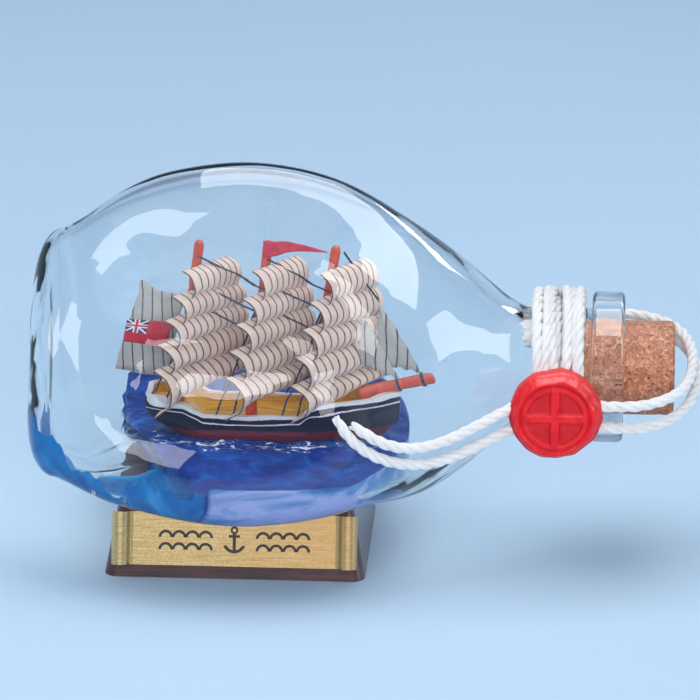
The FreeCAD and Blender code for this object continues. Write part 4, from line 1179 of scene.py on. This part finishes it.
def wax_seal():
    """A lumpy disc of wax with a raised rim, a sunken field and a plain cross in a ring."""
    centre = Vector(((SEAL_LOW.x + SEAL_HIGH.x) / 2, 0, (SEAL_LOW.z + SEAL_HIGH.z) / 2))
    rim_r = (SEAL_HIGH.x - SEAL_LOW.x + SEAL_HIGH.z - SEAL_LOW.z) / 4
    face_y = SEAL_LOW.y + SEAL_RELIEF
    back_y = SEAL_HIGH.y
    around, rows = 160, 60
    rings, hollows = [], []

    def edge(t):
        lumps = 0.045 * noise.noise(Vector((math.cos(t) * 1.3, math.sin(t) * 1.3, 4.0)))
        lumps += 0.035 * noise.noise(Vector((math.cos(t) * 3.4, math.sin(t) * 3.4, 9.0)))
        return rim_r * (1 + lumps)

    def relief(x, z, r, reach):
        """How far the face stands out at a point, 1 being the emblem's top."""
        ring = smoothstep(abs(r - SEAL_RING_R), 0.75, 0.3)
        arms = 0.0
        if r < SEAL_RING_R:
            upright = smoothstep(abs(x), 1.15, 0.65)
            bar = smoothstep(abs(z), 1.1, 0.6)
            arms = max(upright, bar)
        rolled = smoothstep(r, SEAL_RING_R + 0.3, SEAL_RING_R + 1.4) * (1 - smoothstep(r, reach - 1.1, reach))
        return max(ring * 0.75, arms, rolled * 0.9)

    for i in range(rows + 1):
        s = i / rows
        ring = []
        for j in range(around):
            t = 2 * math.pi * j / around
            reach = edge(t)
            r = reach * max(0.01, s)
            x, z = r * math.cos(t), r * math.sin(t)
            up = relief(x, z, r, reach)
            lump = 0.22 * noise.noise(Vector((x * 0.35, z * 0.35, 3.0))) + 0.08 * noise.noise(Vector((x, z, 6.0)))
            y = face_y - SEAL_RELIEF * up + lump + 0.9 * smoothstep(r, reach - 1.3, reach)
            ring.append(Vector((centre.x + x, y, centre.z + z)))
            # Painted shade for the wax finish: 1 - up darkens the sunken field, and the rim's outer slope gets a
            # little.
            hollows.append((1 - up) if r < reach - 1.2 else 0.3 * s)
        rings.append(ring)
    for depth, grow in ((0.8, 0.28), (1.7, 0.42), (2.7, 0.35), (3.7, 0.1), (4.6, -0.5), (5.2, -1.6)):
        ring = []
        for j in range(around):
            t = 2 * math.pi * j / around
            r = edge(t) + grow
            y = min(back_y, face_y + 0.9 + depth)
            ring.append(Vector((centre.x + r * math.cos(t), y, centre.z + r * math.sin(t))))
            # The disc's sides get an even amount of painted shade.
            hollows.append(0.35)
        rings.append(ring)
    wax = loft("wax_seal_disc", rings, WAX)
    point_values(wax, hollow=hollows)
    adopt(wax, "bottle", "wax", "wax_seal")


wax_seal()


# ---- finishes of the CAD nodes that stay ---------------------------------------------------------------------

def refinish(node, material, bevel=0.0):
    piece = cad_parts[node]
    if not piece.material_slots:
        piece.data.materials.append(material)
    for place in piece.material_slots:
        place.material = material
    if bevel:
        rounded = piece.modifiers.new("edges", "BEVEL")
        rounded.width = bevel * MM
        rounded.segments = 3
        rounded.limit_method = "ANGLE"
        rounded.angle_limit = math.radians(40)


refinish("plinth", MAHOGANY, 0.25)
refinish("nameplate", BRASS)
refinish("nameplate_anchor", ENAMEL)
refinish("nameplate_waves", ENAMEL)
refinish("deck", DECK)
refinish("cap_rail", RAIL, 0.12)
refinish("bowsprit_lashings", THREAD)
for node_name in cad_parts:
    if node_name.endswith(("_stays", "_stay")) or "backstays" in node_name:
        refinish(node_name, THREAD)


# ---- floor and light ---------------------------------------------------------------------------------------

def floor():
    """A plain pale floor as wide as the view needs."""
    around, radii = 48, (400.0, 1500.0, 5000.0)
    points = [Vector((r * c, r * s, 0.0)) for r in radii for c, s in circle(around)]
    faces = ring_faces(len(radii), around) + end_caps(len(radii), around)[:1]
    mesh_object("floor", points, faces, floor_finish())


def softbox(name, place, aim, width, height, radiance, colour=(1, 1, 1), seen="diffuse"):
    """A rectangular lamp that lights surfaces, or with seen="glossy" is only mirrored in them."""
    data = bpy.data.lights.new(name, "AREA")
    data.shape = "RECTANGLE"
    data.size, data.size_y = width, height
    data.energy = radiance * math.pi * width * height
    data.color = colour
    lamp = bpy.data.objects.new(name, data)
    lamp.location = place
    lamp.rotation_euler = (Vector(aim) - Vector(place)).to_track_quat("-Z", "Y").to_euler()
    lamp.visible_diffuse = seen == "diffuse"
    lamp.visible_glossy = seen == "glossy"
    lamp.visible_transmission = False
    bpy.context.scene.collection.objects.link(lamp)


def sky():
    """Pale near the horizon and darker overhead, like a studio sweep."""
    world = bpy.data.worlds.new("studio")
    world.use_nodes = True
    tree = world.node_tree
    coords = tree.nodes.new("ShaderNodeTexCoord")
    parts = tree.nodes.new("ShaderNodeSeparateXYZ")
    ramp = tree.nodes.new("ShaderNodeValToRGB")
    tree.links.new(coords.outputs["Generated"], parts.inputs[0])
    tree.links.new(parts.outputs["Z"], ramp.inputs["Fac"])
    fill_ramp(ramp.color_ramp.elements, (
        (0.0, HORIZON), (0.2, (0.4, 0.56, 0.76)), (0.42, (0.2, 0.27, 0.38)), (1.0, (0.28, 0.33, 0.42))))
    back = tree.nodes["Background"]
    tree.links.new(ramp.outputs["Color"], back.inputs["Color"])
    back.inputs["Strength"].default_value = 1.0
    bpy.context.scene.world = world


floor()
sky()
MIDDLE = (0.02, 0.0, 0.035)
softbox("overhead", (0.0, 0.05, 0.75), MIDDLE, 0.75, 0.6, 2.3)
softbox("left", (-0.75, -0.1, 0.5), MIDDLE, 0.3, 0.5, 2.2)
softbox("front", (0.25, -1.0, 0.4), MIDDLE, 0.9, 0.4, 5.6, (1.0, 0.93, 0.87))
softbox("top_mirrored", (0.16, 0.06, 0.75), (0.16, 0.06, 0.0), 0.78, 0.7, 8.0, seen="glossy")
softbox("left_mirrored", (-0.46, -0.54, 0.58), MIDDLE, 0.46, 0.17, 6.5, seen="glossy")
softbox("right_mirrored", (0.8, -0.16, 0.38), MIDDLE, 0.46, 0.4, 6.5, seen="glossy")
softbox("back_mirrored", (0.45, 0.6, 0.42), MIDDLE, 0.16, 0.1, 10.0, seen="glossy")
softbox("front_card", (0.0, -0.62, 0.2), MIDDLE, 0.6, 0.24, 0.6, (1.0, 0.82, 0.6), seen="glossy")
bpy.context.scene.view_settings.view_transform = "Standard"
